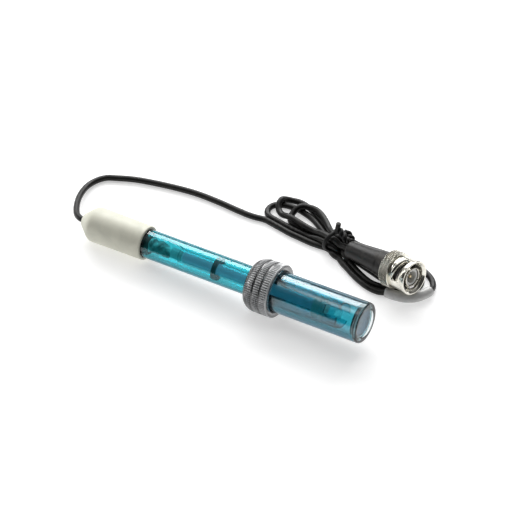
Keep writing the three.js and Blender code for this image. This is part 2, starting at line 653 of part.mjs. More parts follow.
/** The outer shape of the hank, cut clear of the plug, the sleeve and the tie. */
function hank() {
  const ring = solid(plate(HANK_OUTLINE, HANK_HEIGHT, [LEFT_HOLE, RIGHT_HOLE]));
  const waistHalf = TIE_HALF_WIDTH - TIE_WIRE_RADIUS - GAP;
  const waist = solid(atTie(bar(-5, 2, waistHalf, 16).scale(1, 1, 0.92)));
  const plugRoom = turned([
    [-GAP, 0], [-GAP, bootTailRadius + GAP], [nutBack - 1, bootFrontRadius + GAP],
    [nutBack - 1, knurlRadius + GAP], [PLUG_LENGTH + 1, knurlRadius + GAP], [PLUG_LENGTH + 1, 0],
  ], 20).applyMatrix4(plug.matrix);
  const sleeveEnds = curveThrough([[122.5, 31, 2.2], ...SLEEVE_POINTS, [139.6, 43, 2.2]]);
  const loopRoom = new THREE.TorusGeometry(1, (TIE_WIRE_RADIUS + GAP) / TIE_HALF_WIDTH, 8, 20)
    .rotateY(Math.PI / 2)
    .scale(TIE_HALF_WIDTH, TIE_HALF_WIDTH, TIE_PLACE[2] - TIE_WIRE_RADIUS);
  const loopGap = block([-1.3, 1.3], [-20, 20], [-20, 20]);
  const core = bar(-2, 2, waistHalf - 0.05, 16).scale(1, 1, 0.9);
  const collar = solid(atTie(loopGap)).subtract(solid(atTie(core)));
  return ring.add(waist)
    .subtract(collar)
    .subtract(solid(atTie(loopRoom)))
    .subtract(solid(plugRoom))
    .subtract(solid(swept(sleeveEnds, sleeveRadius + GAP, 12, 10)));
}

piece(leadGroup, "cord_hank", hank(), MATERIALS.cordJacket);
piece(leadGroup, "cord_tie", wireTie(), MATERIALS.blackRubber);
leadGroup.add(plug);

const meter = new THREE.Group();
meter.add(electrode, leadGroup);
export default meter;
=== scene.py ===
"""Looks for a laboratory pH electrode that lies in its storage bottle, with its lead tied in a hank.

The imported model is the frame: this script dresses its nodes and stands finer pieces in for the ones
whose facets would show.  Sizes in the classes are in millimetres, and everything that reaches
Blender is in metres.  ``along`` is the distance from the back of a turned assembly, along its axis.
"""

from __future__ import annotations

import json
import logging
import sys
from dataclasses import dataclass, field
from enum import Enum
from typing import Any, Sequence

import bmesh
import bpy
import numpy as np
from mathutils import Matrix, Vector

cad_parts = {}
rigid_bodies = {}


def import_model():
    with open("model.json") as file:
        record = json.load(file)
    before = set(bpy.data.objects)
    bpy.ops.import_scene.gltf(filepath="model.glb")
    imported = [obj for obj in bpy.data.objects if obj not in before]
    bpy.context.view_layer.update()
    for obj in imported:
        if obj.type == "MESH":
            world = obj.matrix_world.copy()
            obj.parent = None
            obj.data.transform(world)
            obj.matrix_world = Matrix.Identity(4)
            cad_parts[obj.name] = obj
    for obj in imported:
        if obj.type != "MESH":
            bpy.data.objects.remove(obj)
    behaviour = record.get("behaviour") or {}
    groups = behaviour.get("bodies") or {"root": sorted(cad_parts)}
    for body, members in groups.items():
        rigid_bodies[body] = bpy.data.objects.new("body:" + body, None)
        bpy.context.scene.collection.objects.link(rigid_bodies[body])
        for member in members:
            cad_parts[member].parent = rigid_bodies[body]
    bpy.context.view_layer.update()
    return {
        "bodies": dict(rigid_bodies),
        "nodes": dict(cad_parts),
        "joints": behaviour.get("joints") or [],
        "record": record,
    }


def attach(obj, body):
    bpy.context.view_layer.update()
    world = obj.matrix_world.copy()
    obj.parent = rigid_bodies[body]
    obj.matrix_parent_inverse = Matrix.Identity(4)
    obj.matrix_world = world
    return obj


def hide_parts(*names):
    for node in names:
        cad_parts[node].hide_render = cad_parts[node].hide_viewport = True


log = logging.getLogger("electrode")

MM = 0.001
TURN = 2 * np.pi

SCREW_JOINT = 87.0  # where the screw cap's joint stands, from the electrode's back
SLOT_COLUMNS = 6  # columns of a net across a slot


# ------------------------------------------------------------------------------ shader sockets


class Value:
    """A shader socket that Python arithmetic works on, adding its Math nodes."""

    def __init__(self, tree: "Tree", socket: bpy.types.NodeSocket) -> None:
        """Wraps ``socket`` of a node in ``tree``."""
        self.tree = tree
        self.socket = socket

    def _math(self, operation: str, *values: Any) -> "Value":
        """Adds a Math node that does ``operation`` on the values."""
        return self.tree.node("ShaderNodeMath", {"operation": operation}, dict(enumerate(values)))

    def __add__(self, other: Any) -> "Value":
        """This value plus the other."""
        return self._math("ADD", self, other)

    def __mul__(self, other: Any) -> "Value":
        """This value times the other."""
        return self._math("MULTIPLY", self, other)

    def __sub__(self, other: Any) -> "Value":
        """This value less the other."""
        return self._math("SUBTRACT", self, other)

    def __rsub__(self, other: Any) -> "Value":
        """The other value less this one."""
        return self._math("SUBTRACT", other, self)

    __radd__ = __add__
    __rmul__ = __mul__

    def sine(self) -> "Value":
        """The sine of this value, in radians."""
        return self._math("SINE", self)

    def between(self, low: float, high: float) -> "Value":
        """This value as 0 to 1 between two limits, smoothly and without passing them.

        Args:
            low: The value that gives 0.
            high: The value that gives 1.

        Returns:
            The new value.
        """
        return self.tree.node(
            "ShaderNodeMapRange",
            {"interpolation_type": "SMOOTHSTEP"},
            {0: self, 1: low, 2: high, 3: 0.0, 4: 1.0},
        )


class Tree:
    """The nodes of a material or a world, made by one method and ended in one output."""

    def __init__(self, owner: bpy.types.Material | bpy.types.World, output: str) -> None:
        """Empties the owner's nodes and gives them a new output.

        Args:
            owner: The material or world.
            output: The output node's Blender type.
        """
        owner.use_nodes = True
        self.nodes = owner.node_tree.nodes
        self.links = owner.node_tree.links
        self.nodes.clear()
        self.output = self.nodes.new(output)

    def node(
        self,
        kind: str,
        settings: dict[str, Any] | None = None,
        values: dict[int | str, Any] | None = None,
        output: int | str = 0,
    ) -> Value:
        """Adds a node, sets it up and feeds its sockets.

        Args:
            kind: The node's Blender type.
            settings: The node's own properties, set first; ``stops`` are a ramp's (place, colour) pairs.
            values: Constants or other values for its sockets, by number or name.
            output: The output socket that is wanted.

        Returns:
            The chosen output.
        """
        made = self.nodes.new(kind)
        for key, setting in (settings or {}).items():
            if key == "stops":
                self._stops(made.color_ramp, setting)
            else:
                setattr(made, key, setting)
        for key, value in (values or {}).items():
            if isinstance(value, Value):
                self.links.new(value.socket, made.inputs[key])
            else:
                made.inputs[key].default_value = value
        return Value(self, made.outputs[output])

    @staticmethod
    def _stops(ramp: bpy.types.ColorRamp, stops: Sequence[tuple[float, Sequence[float]]]) -> None:
        """Gives the two ends of a colour ramp their places and colours."""
        for element, (place, colour) in zip(ramp.elements, stops):
            element.position = place
            element.color = (*colour, 1.0)

    def end(self, socket: str, value: Value) -> None:
        """Links a value to a socket of the output node."""
        self.links.new(value.socket, self.output.inputs[socket])


class Paint(Tree):
    """One material under construction, with a Principled shader at its end."""

    def __init__(self, name: str) -> None:
        """Starts a material called ``name`` with nothing but its output."""
        self.material = bpy.data.materials.new(name)
        super().__init__(self.material, "ShaderNodeOutputMaterial")

    def place(self, turn: Sequence[float] = (0, 0, 0)) -> Value:
        """Object coordinates in metres, turned by Euler angles."""
        spot = self.node("ShaderNodeTexCoord", output="Object")
        return self.node(
            "ShaderNodeMapping", {"vector_type": "TEXTURE"}, {"Vector": spot, "Rotation": turn}
        )

    def noise(self, where: Value, scale: float, detail: float = 3.0, distortion: float = 0.0) -> Value:
        """Fractal noise, 0 to 1.

        Args:
            where: Coordinates.
            scale: Features per metre.
            detail: Octaves.
            distortion: How much the features are pulled about.

        Returns:
            The noise.
        """
        return self.node(
            "ShaderNodeTexNoise",
            None,
            {"Vector": where, "Scale": scale, "Detail": detail, "Distortion": distortion},
        )

    def mix(self, share: Any, first: Any, second: Any) -> Value:
        """A colour between two colours."""
        return self.node(
            "ShaderNodeMix", {"data_type": "RGBA"}, {0: share, 6: first, 7: second}, output=2
        )

    def groove(self) -> Value:
        """How deep in a groove the surface lies, 0 to 1, as its mesh says, which the materials paint as
        shade.
        """
        return self.node("ShaderNodeAttribute", {"attribute_name": "groove"}, output="Fac")

    def bump(self, height: Value, depth: float) -> Value:
        """A normal from a height whose 1 is ``depth`` metres."""
        return self.node("ShaderNodeBump", None, {"Height": height, "Distance": depth, "Strength": 1.0})

    def surface(self, **values: Any) -> None:
        """Ends the material in a Principled shader; underscores in names stand for spaces."""
        named = {key.replace("_", " "): value for key, value in values.items()}
        self.end("Surface", self.node("ShaderNodeBsdfPrincipled", None, named))

    def absorb(self, colour: Sequence[float], density: float) -> None:
        """Fills the inside with a plain tint that deepens with thickness."""
        tint = {"Color": (*colour, 1.0), "Density": density}
        self.end("Volume", self.node("ShaderNodeVolumeAbsorption", None, tint))


# ------------------------------------------------------------------------------ finishes

Colour = tuple[float, float, float]


def rgba(colour: Colour) -> tuple[float, float, float, float]:
    """A colour as Blender's sockets want it."""
    return (*colour, 1.0)


@dataclass(frozen=True)
class Moulded:
    """Opaque moulded or cast plastic with a fine skin, a faint mottle and soft scuffs."""

    name: str
    colour: Colour
    shade: Colour
    roughness: float = 0.45
    grain: float = 0.00001
    grain_size: float = 0.0003
    coat: float = 0.0
    # painted light: an emission strength that stands for light gathered through a tinted wall
    painted_glow: float = 0.0

    def material(self) -> bpy.types.Material:
        """Makes the material; its glow is painted light, an emission that stands for the light that a tinted
        wall gathers on it.
        """
        paint = Paint(self.name)
        where = paint.place()
        mottle = paint.noise(where, 140, 4, 0.6).between(0.35, 0.72)
        scuffs = paint.noise(where, 620, 5, 1.4).between(0.56, 0.78)
        grain = paint.noise(where, 1 / self.grain_size, 2)
        colour = paint.mix(mottle, rgba(self.colour), rgba(self.shade))
        # painted light: where a glow is given, the surface emits its own colour
        lit = {"Emission_Color": colour, "Emission_Strength": self.painted_glow} if self.painted_glow else {}
        paint.surface(
            Base_Color=colour,
            Roughness=self.roughness + 0.09 * mottle - 0.08 * scuffs,
            Normal=paint.bump(grain + 0.6 * mottle, self.grain),
            Coat_Weight=self.coat,
            Coat_Roughness=0.25,
            **lit,
        )
        return paint.material


@dataclass(frozen=True)
class Clear:
    """Transparent plastic, glass or liquid, whose tint deepens with thickness."""

    name: str
    through: Colour
    depth: float
    ior: float
    roughness: float = 0.0
    waviness: float = 0.0

    def material(self) -> bpy.types.Material:
        """Makes the material; ``through`` is the colour left after ``depth`` metres of it."""
        paint = Paint(self.name)
        where = paint.place()
        ripples = paint.noise(where, 260, 2, 0.4)
        marks = paint.noise(where, 900, 4, 2.0).between(0.62, 0.8)
        paint.surface(
            Base_Color=rgba((1.0, 1.0, 1.0)),
            Roughness=self.roughness + 0.05 * marks,
            IOR=self.ior,
            Transmission_Weight=1.0,
            Normal=paint.bump(ripples, self.waviness),
        )
        taken = -np.log(np.clip(self.through, 1e-3, 0.999)) / self.depth
        density = float(taken.max())
        paint.absorb(tuple(1 - taken / density), density)
        return paint.material


@dataclass(frozen=True)
class Ribbed:
    """Clear plastic with fine ribs: pale on the ribs, with painted shade between them."""

    name: str
    rib: Colour
    # painted shade: the colour between the ribs
    valley_shade: Colour
    clearness: float = 0.35
    roughness: float = 0.14

    def material(self) -> bpy.types.Material:
        """Makes the material, with the ribs' tops and the painted shade of their valleys told apart by the
        mesh.
        """
        paint = Paint(self.name)
        cloud = paint.noise(paint.place(), 380, 3, 1.2).between(0.35, 0.75)
        # painted shade: the mesh's share darkens the colour towards the valley colour
        deep = paint.groove()
        paint.surface(
            Base_Color=paint.mix(deep, rgba(self.rib), rgba(self.valley_shade)),
            Roughness=self.roughness + 0.1 * cloud + 0.1 * deep,
            IOR=1.57,
            Transmission_Weight=self.clearness,
            Coat_Weight=1.0,
            Coat_Roughness=0.06,
            Normal=paint.bump(cloud, 0.000004),
        )
        return paint.material


@dataclass(frozen=True)
class Plated:
    """Plated metal with turning marks round an axis and a soft tarnish."""

    name: str
    colour: Colour
    tarnish: Colour
    turn: tuple[float, float, float] = (0.0, 0.0, 0.0)
    roughness: float = 0.16
    pitch: float = 0.00012
    # painted shade: the colour that the bottom of the grooves is darkened to, or None
    painted_groove_shade: Colour | None = None

    def material(self) -> bpy.types.Material:
        """Makes the material.

        ``turn`` brings the X axis of the pattern onto the piece's own, and the groove colour, if given, is
        painted shade at the bottom of the grooves that the mesh names.
        """
        paint = Paint(self.name)
        where = paint.place(self.turn)
        along = paint.node("ShaderNodeSeparateXYZ", None, {0: where})
        cloud = paint.noise(where, 420, 4, 0.8).between(0.4, 0.75)
        marks = (along * (TURN / self.pitch) + 2.5 * cloud).sine() * 0.5 + 0.5
        plate = paint.mix(cloud * 0.6, rgba(self.colour), rgba(self.tarnish))
        # painted shade: darkens the grooves that the mesh names towards the given colour
        if self.painted_groove_shade:
            plate = paint.mix(paint.groove(), plate, rgba(self.painted_groove_shade))
        paint.surface(
            Base_Color=plate,
            Metallic=1.0,
            Roughness=self.roughness + 0.12 * cloud + 0.04 * marks,
            Normal=paint.bump(marks, 0.0000012),
        )
        return paint.material


@dataclass(frozen=True)
class Jacket:
    """Soft extruded or moulded black plastic, with dust, rub marks and a fine drag along it."""

    name: str
    colour: Colour
    worn: Colour
    roughness: float = 0.42
    grain: float = 0.000012
    shine: float = 0.24

    def material(self) -> bpy.types.Material:
        """Makes the material."""
        paint = Paint(self.name)
        where = paint.place()
        rub = paint.noise(where, 170, 5, 1.0).between(0.45, 0.75)
        dust = paint.noise(where, 2600, 3).between(0.6, 0.8)
        drag = paint.noise(where, 900, 3, 1.2)
        paint.surface(
            Base_Color=paint.mix(rub * 0.55 + dust * 0.25, rgba(self.colour), rgba(self.worn)),
            Roughness=self.roughness + 0.14 * rub - 0.05 * dust,
            Specular_IOR_Level=self.shine,
            Normal=paint.bump(drag + 0.4 * dust, self.grain),
        )
        return paint.material


# ------------------------------------------------------------------------------ meshes


@dataclass(frozen=True)
class Place:
    """Where a turned assembly stands: its back end and the direction of its axis."""

    origin: np.ndarray
    axis: np.ndarray

    @property
    def turn(self) -> tuple[float, float, float]:
        """The Euler angles that turn +X onto the axis."""
        return tuple(Vector(self.axis).to_track_quat("X", "Z").to_euler())

    def metres(self, points: np.ndarray) -> np.ndarray:
        """Takes local points in millimetres to the frame in metres.

        Args:
            points: (along, sideways, up) for each point, in any number of rows.

        Returns:
            The points in the frame.
        """
        side = np.cross([0.0, 0.0, 1.0], self.axis)
        side /= np.linalg.norm(side)
        basis = np.stack([self.axis, side, np.cross(self.axis, side)])
        return self.origin + MM * (points @ basis)


@dataclass(frozen=True)
class Net:
    """A grid of points that becomes a sheet of four-sided faces.

    ``points`` is (rows, columns, 3); a closed direction joins its last line to its first.
    """

    points: np.ndarray
    close_rows: bool = False
    close_columns: bool = True

    def faces(self, first: int) -> np.ndarray:
        """The net's faces.

        Args:
            first: The number of the net's first point in its mesh.

        Returns:
            Four point numbers for each face.
        """
        rows, columns = self.points.shape[:2]
        number = np.arange(rows * columns).reshape(rows, columns)
        if self.close_rows:
            number = np.concatenate([number, number[:1]])
        if self.close_columns:
            number = np.concatenate([number, number[:, :1]], axis=1)
        corners = number[:-1, :-1], number[1:, :-1], number[1:, 1:], number[:-1, 1:]
        return first + np.stack(corners, axis=-1).reshape(-1, 4)


def volume_of(points: np.ndarray, faces: np.ndarray) -> float:
    """Signed volume of a closed mesh: a sixth of the sum of each triangle's triple product."""
    a, b, c, d = (points[faces[:, k]] for k in range(4))
    return float((np.cross(b - a, c - a) * a).sum() + (np.cross(c - a, d - a) * a).sum()) / 6


def piece(
    name: str,
    nets: Sequence[Net],
    finish: bpy.types.Material,
    place: Place | None = None,
    sharp: float = 38.0,
    groove: np.ndarray | None = None,
) -> bpy.types.Object:
    """Makes one object of several closed nets.

    Args:
        name: The object's name.
        nets: The nets, each closed by itself.
        finish: The material.
        place: The assembly's place, or None if the points are already in metres.
        sharp: Edges turned further than this many degrees are left hard.
        groove: How deep in a groove each point lies, 0 to 1, for materials that paint shade there.

    Returns:
        The object, with its place in its mesh.
    """
    points, faces, first = [], [], 0
    for net in nets:
        local = net.points.reshape(-1, 3)
        made = net.faces(0)
        if volume_of(local - local.mean(axis=0), made) < 0:
            made = made[:, ::-1]
        points.append(local)
        faces.append(made + first)
        first += len(local)
    everything = np.concatenate(points)
    if place is not None:
        everything = place.metres(everything)
    mesh = bpy.data.meshes.new(name)
    mesh.from_pydata(everything, [], np.concatenate(faces))
    mesh.update()
    if groove is not None:
        held = mesh.attributes.new("groove", "FLOAT", "POINT")
        held.data.foreach_set("value", groove.astype(np.float32).ravel())
    join_doubles(mesh)
    mesh.materials.append(finish)
    mesh.shade_smooth()
    mesh.set_sharp_from_angle(angle=np.radians(sharp))
    made = bpy.data.objects.new(name, mesh)
    bpy.context.scene.collection.objects.link(made)
    return made


def join_doubles(mesh: bpy.types.Mesh) -> None:
    """Joins the points that meet at a pole or a seam and drops the faces that this empties.

    Args:
        mesh: The mesh, which is changed in place.
    """
    work = bmesh.new()
    work.from_mesh(mesh)
    bmesh.ops.remove_doubles(work, verts=work.verts, dist=2e-7)
    bmesh.ops.dissolve_degenerate(work, edges=work.edges, dist=1e-8)
    work.to_mesh(mesh)
    work.free()


def rounded(
    corners: Sequence[tuple[float, float, float]], steps: int = 5, closed: bool = True
) -> np.ndarray:
    """An outline with its corners rounded.

    Each corner gives way to a parabola that leaves and meets its two sides at the corner's own
    distance: (1-t)^2 A + 2t(1-t) B + t^2 C, with B the corner.

    Args:
        corners: (along, radius, distance) for each corner, in order.
        steps: Points in each rounded corner.
        closed: Whether the outline joins up.

    Returns:
        The outline as (n, 2).
    """
    spots = np.array([corner[:2] for corner in corners], float)
    made: list[np.ndarray] = []
    t = np.linspace(0, 1, steps)[:, None]
    for number, (spot, corner) in enumerate(zip(spots, corners)):
        at_end = not closed and number in (0, len(spots) - 1)
        if corner[2] <= 0 or at_end:
            made.append(spot[None])
            continue
        before, after = spots[number - 1] - spot, spots[(number + 1) % len(spots)] - spot
        start, end = (spot + s * min(corner[2] / np.linalg.norm(s), 0.49) for s in (before, after))
        made.append((1 - t) ** 2 * start + 2 * t * (1 - t) * spot + t**2 * end)
    return np.concatenate(made)


def turned(outline: np.ndarray, sides: int = 96, closed: bool = True) -> Net:
    """Turns an outline about the axis: every (a, r) becomes (a, r cos q, r sin q) for each angle q.

    Args:
        outline: The outline, (n, 2).
        sides: How many angles there are in a turn.
        closed: Whether the outline joins up.

    Returns:
        The net.
    """
    angle = np.arange(sides) / sides * TURN
    along, radius = outline[:, :1], outline[:, 1:]
    return Net(about_axis(along, radius, angle), close_rows=closed)


def about_axis(along: np.ndarray, radius: np.ndarray, angle: np.ndarray) -> np.ndarray:
    """The points (along, radius cos angle, radius sin angle), with the three stretched to one grid."""
    return np.stack(
        np.broadcast_arrays(along, radius * np.cos(angle), radius * np.sin(angle)), axis=-1
    )


def rod(start: float, end: float, radius: float, edge: float, sides: int) -> Net:
    """A solid bar along the axis with eased edges."""
    corners = [(start, 0, 0), (start, radius, edge), (end, radius, edge), (end, 0, 0)]
    return turned(rounded(corners, closed=False), sides, closed=False)


def spline(points: np.ndarray, per_span: int = 12) -> np.ndarray:
    """A smooth line through points: the Catmull-Rom cubic of each four neighbours.

    Args:
        points: The points, (n, 3).
        per_span: Samples between two points.

    Returns:
        The samples, (m, 3), ends included.
    """
    padded = np.concatenate([2 * points[:1] - points[1:2], points, 2 * points[-1:] - points[-2:-1]])
    a, b, c, d = (padded[k : len(padded) - 3 + k, None] for k in range(4))
    t = (np.arange(per_span) / per_span)[None, :, None]
    square, cube = 2 * a - 5 * b + 4 * c - d, 3 * b - a - 3 * c + d
    line = 0.5 * (2 * b + (c - a) * t + square * t**2 + cube * t**3)
    return np.concatenate([line.reshape(-1, 3), points[-1:]])


def even(line: np.ndarray, step: float) -> np.ndarray:
    """The same line with its points spread evenly, as near ``step`` apart as its length allows.

    Args:
        line: The line, (n, 3).
        step: The distance that is wanted between points.

    Returns:
        The new points, ends included.
    """
    along = np.concatenate([[0], np.cumsum(np.linalg.norm(np.diff(line, axis=0), axis=1))])
    places = np.linspace(0, along[-1], max(2, int(round(along[-1] / step)) + 1))
    return np.stack([np.interp(places, along, line[:, k]) for k in range(3)], axis=1)


def length_of(line: np.ndarray) -> float:
    """The length of a line of points."""
    return float(np.linalg.norm(np.diff(line, axis=0), axis=1).sum())


def carried(line: np.ndarray, radii: np.ndarray | float, sides: int, bore: float = 0.0) -> Net:
    """A round section carried along a line.

    The section stands across the line's tangent: its first side is level, the tangent crossed with
    straight up, and its second is that side crossed with the tangent.

    Args:
        line: The centre line, (n, 3).
        radii: The radius, one for all or one for each point.
        sides: Sides of the section.
        bore: The inner radius as a share of the outer, or 0 for a solid with closed ends.

    Returns:
        The closed net.
    """
    tangent = np.gradient(line, axis=0)
    tangent /= np.linalg.norm(tangent, axis=1, keepdims=True)
    flat = np.cross(tangent, [0.0, 0.0, 1.0])
    flat /= np.linalg.norm(flat, axis=1, keepdims=True) + 1e-9
    up = np.cross(flat, tangent)
    angle = np.arange(sides) / sides * TURN
    ring = flat[:, None] * np.cos(angle)[:, None] + up[:, None] * np.sin(angle)[:, None]
    radius = np.broadcast_to(radii, len(line))[:, None, None]
    outer = line[:, None] + radius * ring
    if bore > 0:
        inner = line[:, None] + radius * bore * ring
        return Net(np.concatenate([outer, inner[::-1]]), close_rows=True)
    ends = [np.repeat(line[k][None, None], sides, axis=1) for k in (0, -1)]
    return Net(np.concatenate([ends[0], outer, ends[1]]))


def station(line: np.ndarray, point: Sequence[float]) -> int:
    """The number of the line's point that lies nearest to a given point."""
    return int(np.linalg.norm(line - np.asarray(point), axis=1).argmin())


def cut(body: bpy.types.Object, cutter: bpy.types.Object) -> None:
    """Takes one closed mesh out of another.

    Args:
        body: The object that keeps what is left.
        cutter: The object that is taken out of it and then removed.
    """
    modifier = body.modifiers.new("cut", "BOOLEAN")
    modifier.operation = "DIFFERENCE"
    modifier.solver = "EXACT"
    modifier.object = cutter
    graph = bpy.context.evaluated_depsgraph_get()
    mesh = bpy.data.meshes.new_from_object(body.evaluated_get(graph))
    body.modifiers.clear()
    body.data = mesh
    bpy.data.objects.remove(cutter)


def slotted(
    rows: Sequence[tuple[float, float, float]],
    slots: int,
    half_width: float,
    depth: float,
    columns: int = 20,
) -> Net:
    """A tube whose front edge has parallel-sided slots.

    A column's angle is spread evenly between slot walls that stand ``half_width`` from the slot's
    middle plane, asin(half_width / r) to either side of it, and a slot's columns end ``depth`` short.

    Args:
        rows: (along, radius, share) round the closed outline; share 1 moves back with the slots.
        slots: Number of slots, the first at 45 degrees for four of them.
        half_width: Half of a slot's width.
        depth: How far back the slots reach.
        columns: Columns in each stretch between slot walls.

    Returns:
        The closed net.
    """
    along, radius, share = (np.array(rows)[:, k, None] for k in range(3))
    edge = np.arcsin(half_width / radius)
    pitch = TURN / slots
    solid_part = np.linspace(0, 1, columns)
    slot_part = np.linspace(0, 1, SLOT_COLUMNS)
    angles, starts = [], []
    for number in range(slots):
        middle = pitch * (number + 0.5)
        angles += [middle - edge + 2 * edge * slot_part, middle + edge + (pitch - 2 * edge) * solid_part]
        starts += [np.full(len(slot_part), depth), np.zeros(columns)]
    angle = np.concatenate(angles, axis=1)
    back = np.concatenate(starts)[None]
    return Net(about_axis(along - share * back, radius, angle), close_rows=True)


# ------------------------------------------------------------------------------ assemblies


class Bodies(Enum):
    """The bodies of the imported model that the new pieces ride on."""

    ELECTRODE = "electrode"
    BOTTLE = "bottle"
    SCREW_CAP = "screw_cap"
    NUT = "plug_nut"


@dataclass
class Assembly:
    """What every sub-assembly shares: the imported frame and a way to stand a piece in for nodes."""

    frame: dict[str, Any]

    def stand_in(self, made: bpy.types.Object, body: Bodies, slot: str, *nodes: str) -> bpy.types.Object:
        """Puts a piece on its body and hides the nodes that it replaces.

        Args:
            made: The piece.
            body: The body that it moves with.
            slot: The record's material slot; not used.
            nodes: The CAD nodes that it stands for, if any.

        Returns:
            The piece.
        """
        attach(made, body.value)
        if nodes:
            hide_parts(*nodes)
        log.info("%s rides on %s, %d faces, for %s", made.name, body.value, len(made.data.polygons), nodes)
        return made

    def dress(self, finish: bpy.types.Material, *nodes: str) -> None:
        """Gives CAD nodes that stay visible their material.

        Args:
            finish: The material.
            nodes: The nodes' names.
        """
        for name in nodes:
            node = self.frame["nodes"][name]
            if not node.material_slots:
                node.data.materials.append(finish)
            for holder in node.material_slots:
                holder.material = finish
            log.info("%s dressed in %s", name, finish.name)

    def joint_place(self, turning: str, sliding: str, along: float) -> Place:
        """Finds where a turned assembly stands from the two joints on its axis.

        Args:
            turning: The joint that stands ``along`` mm from the assembly's back.
            sliding: The joint that slides along the assembly's axis.
            along: The turning joint's distance from the back.

        Returns:
            The assembly's place.
        """
        joints = {joint["name"]: joint for joint in self.frame["joints"]}
        axis = np.array(joints[sliding]["axis"], float)
        return Place(np.array(joints[turning]["pos_m"]) - MM * along * axis, axis)


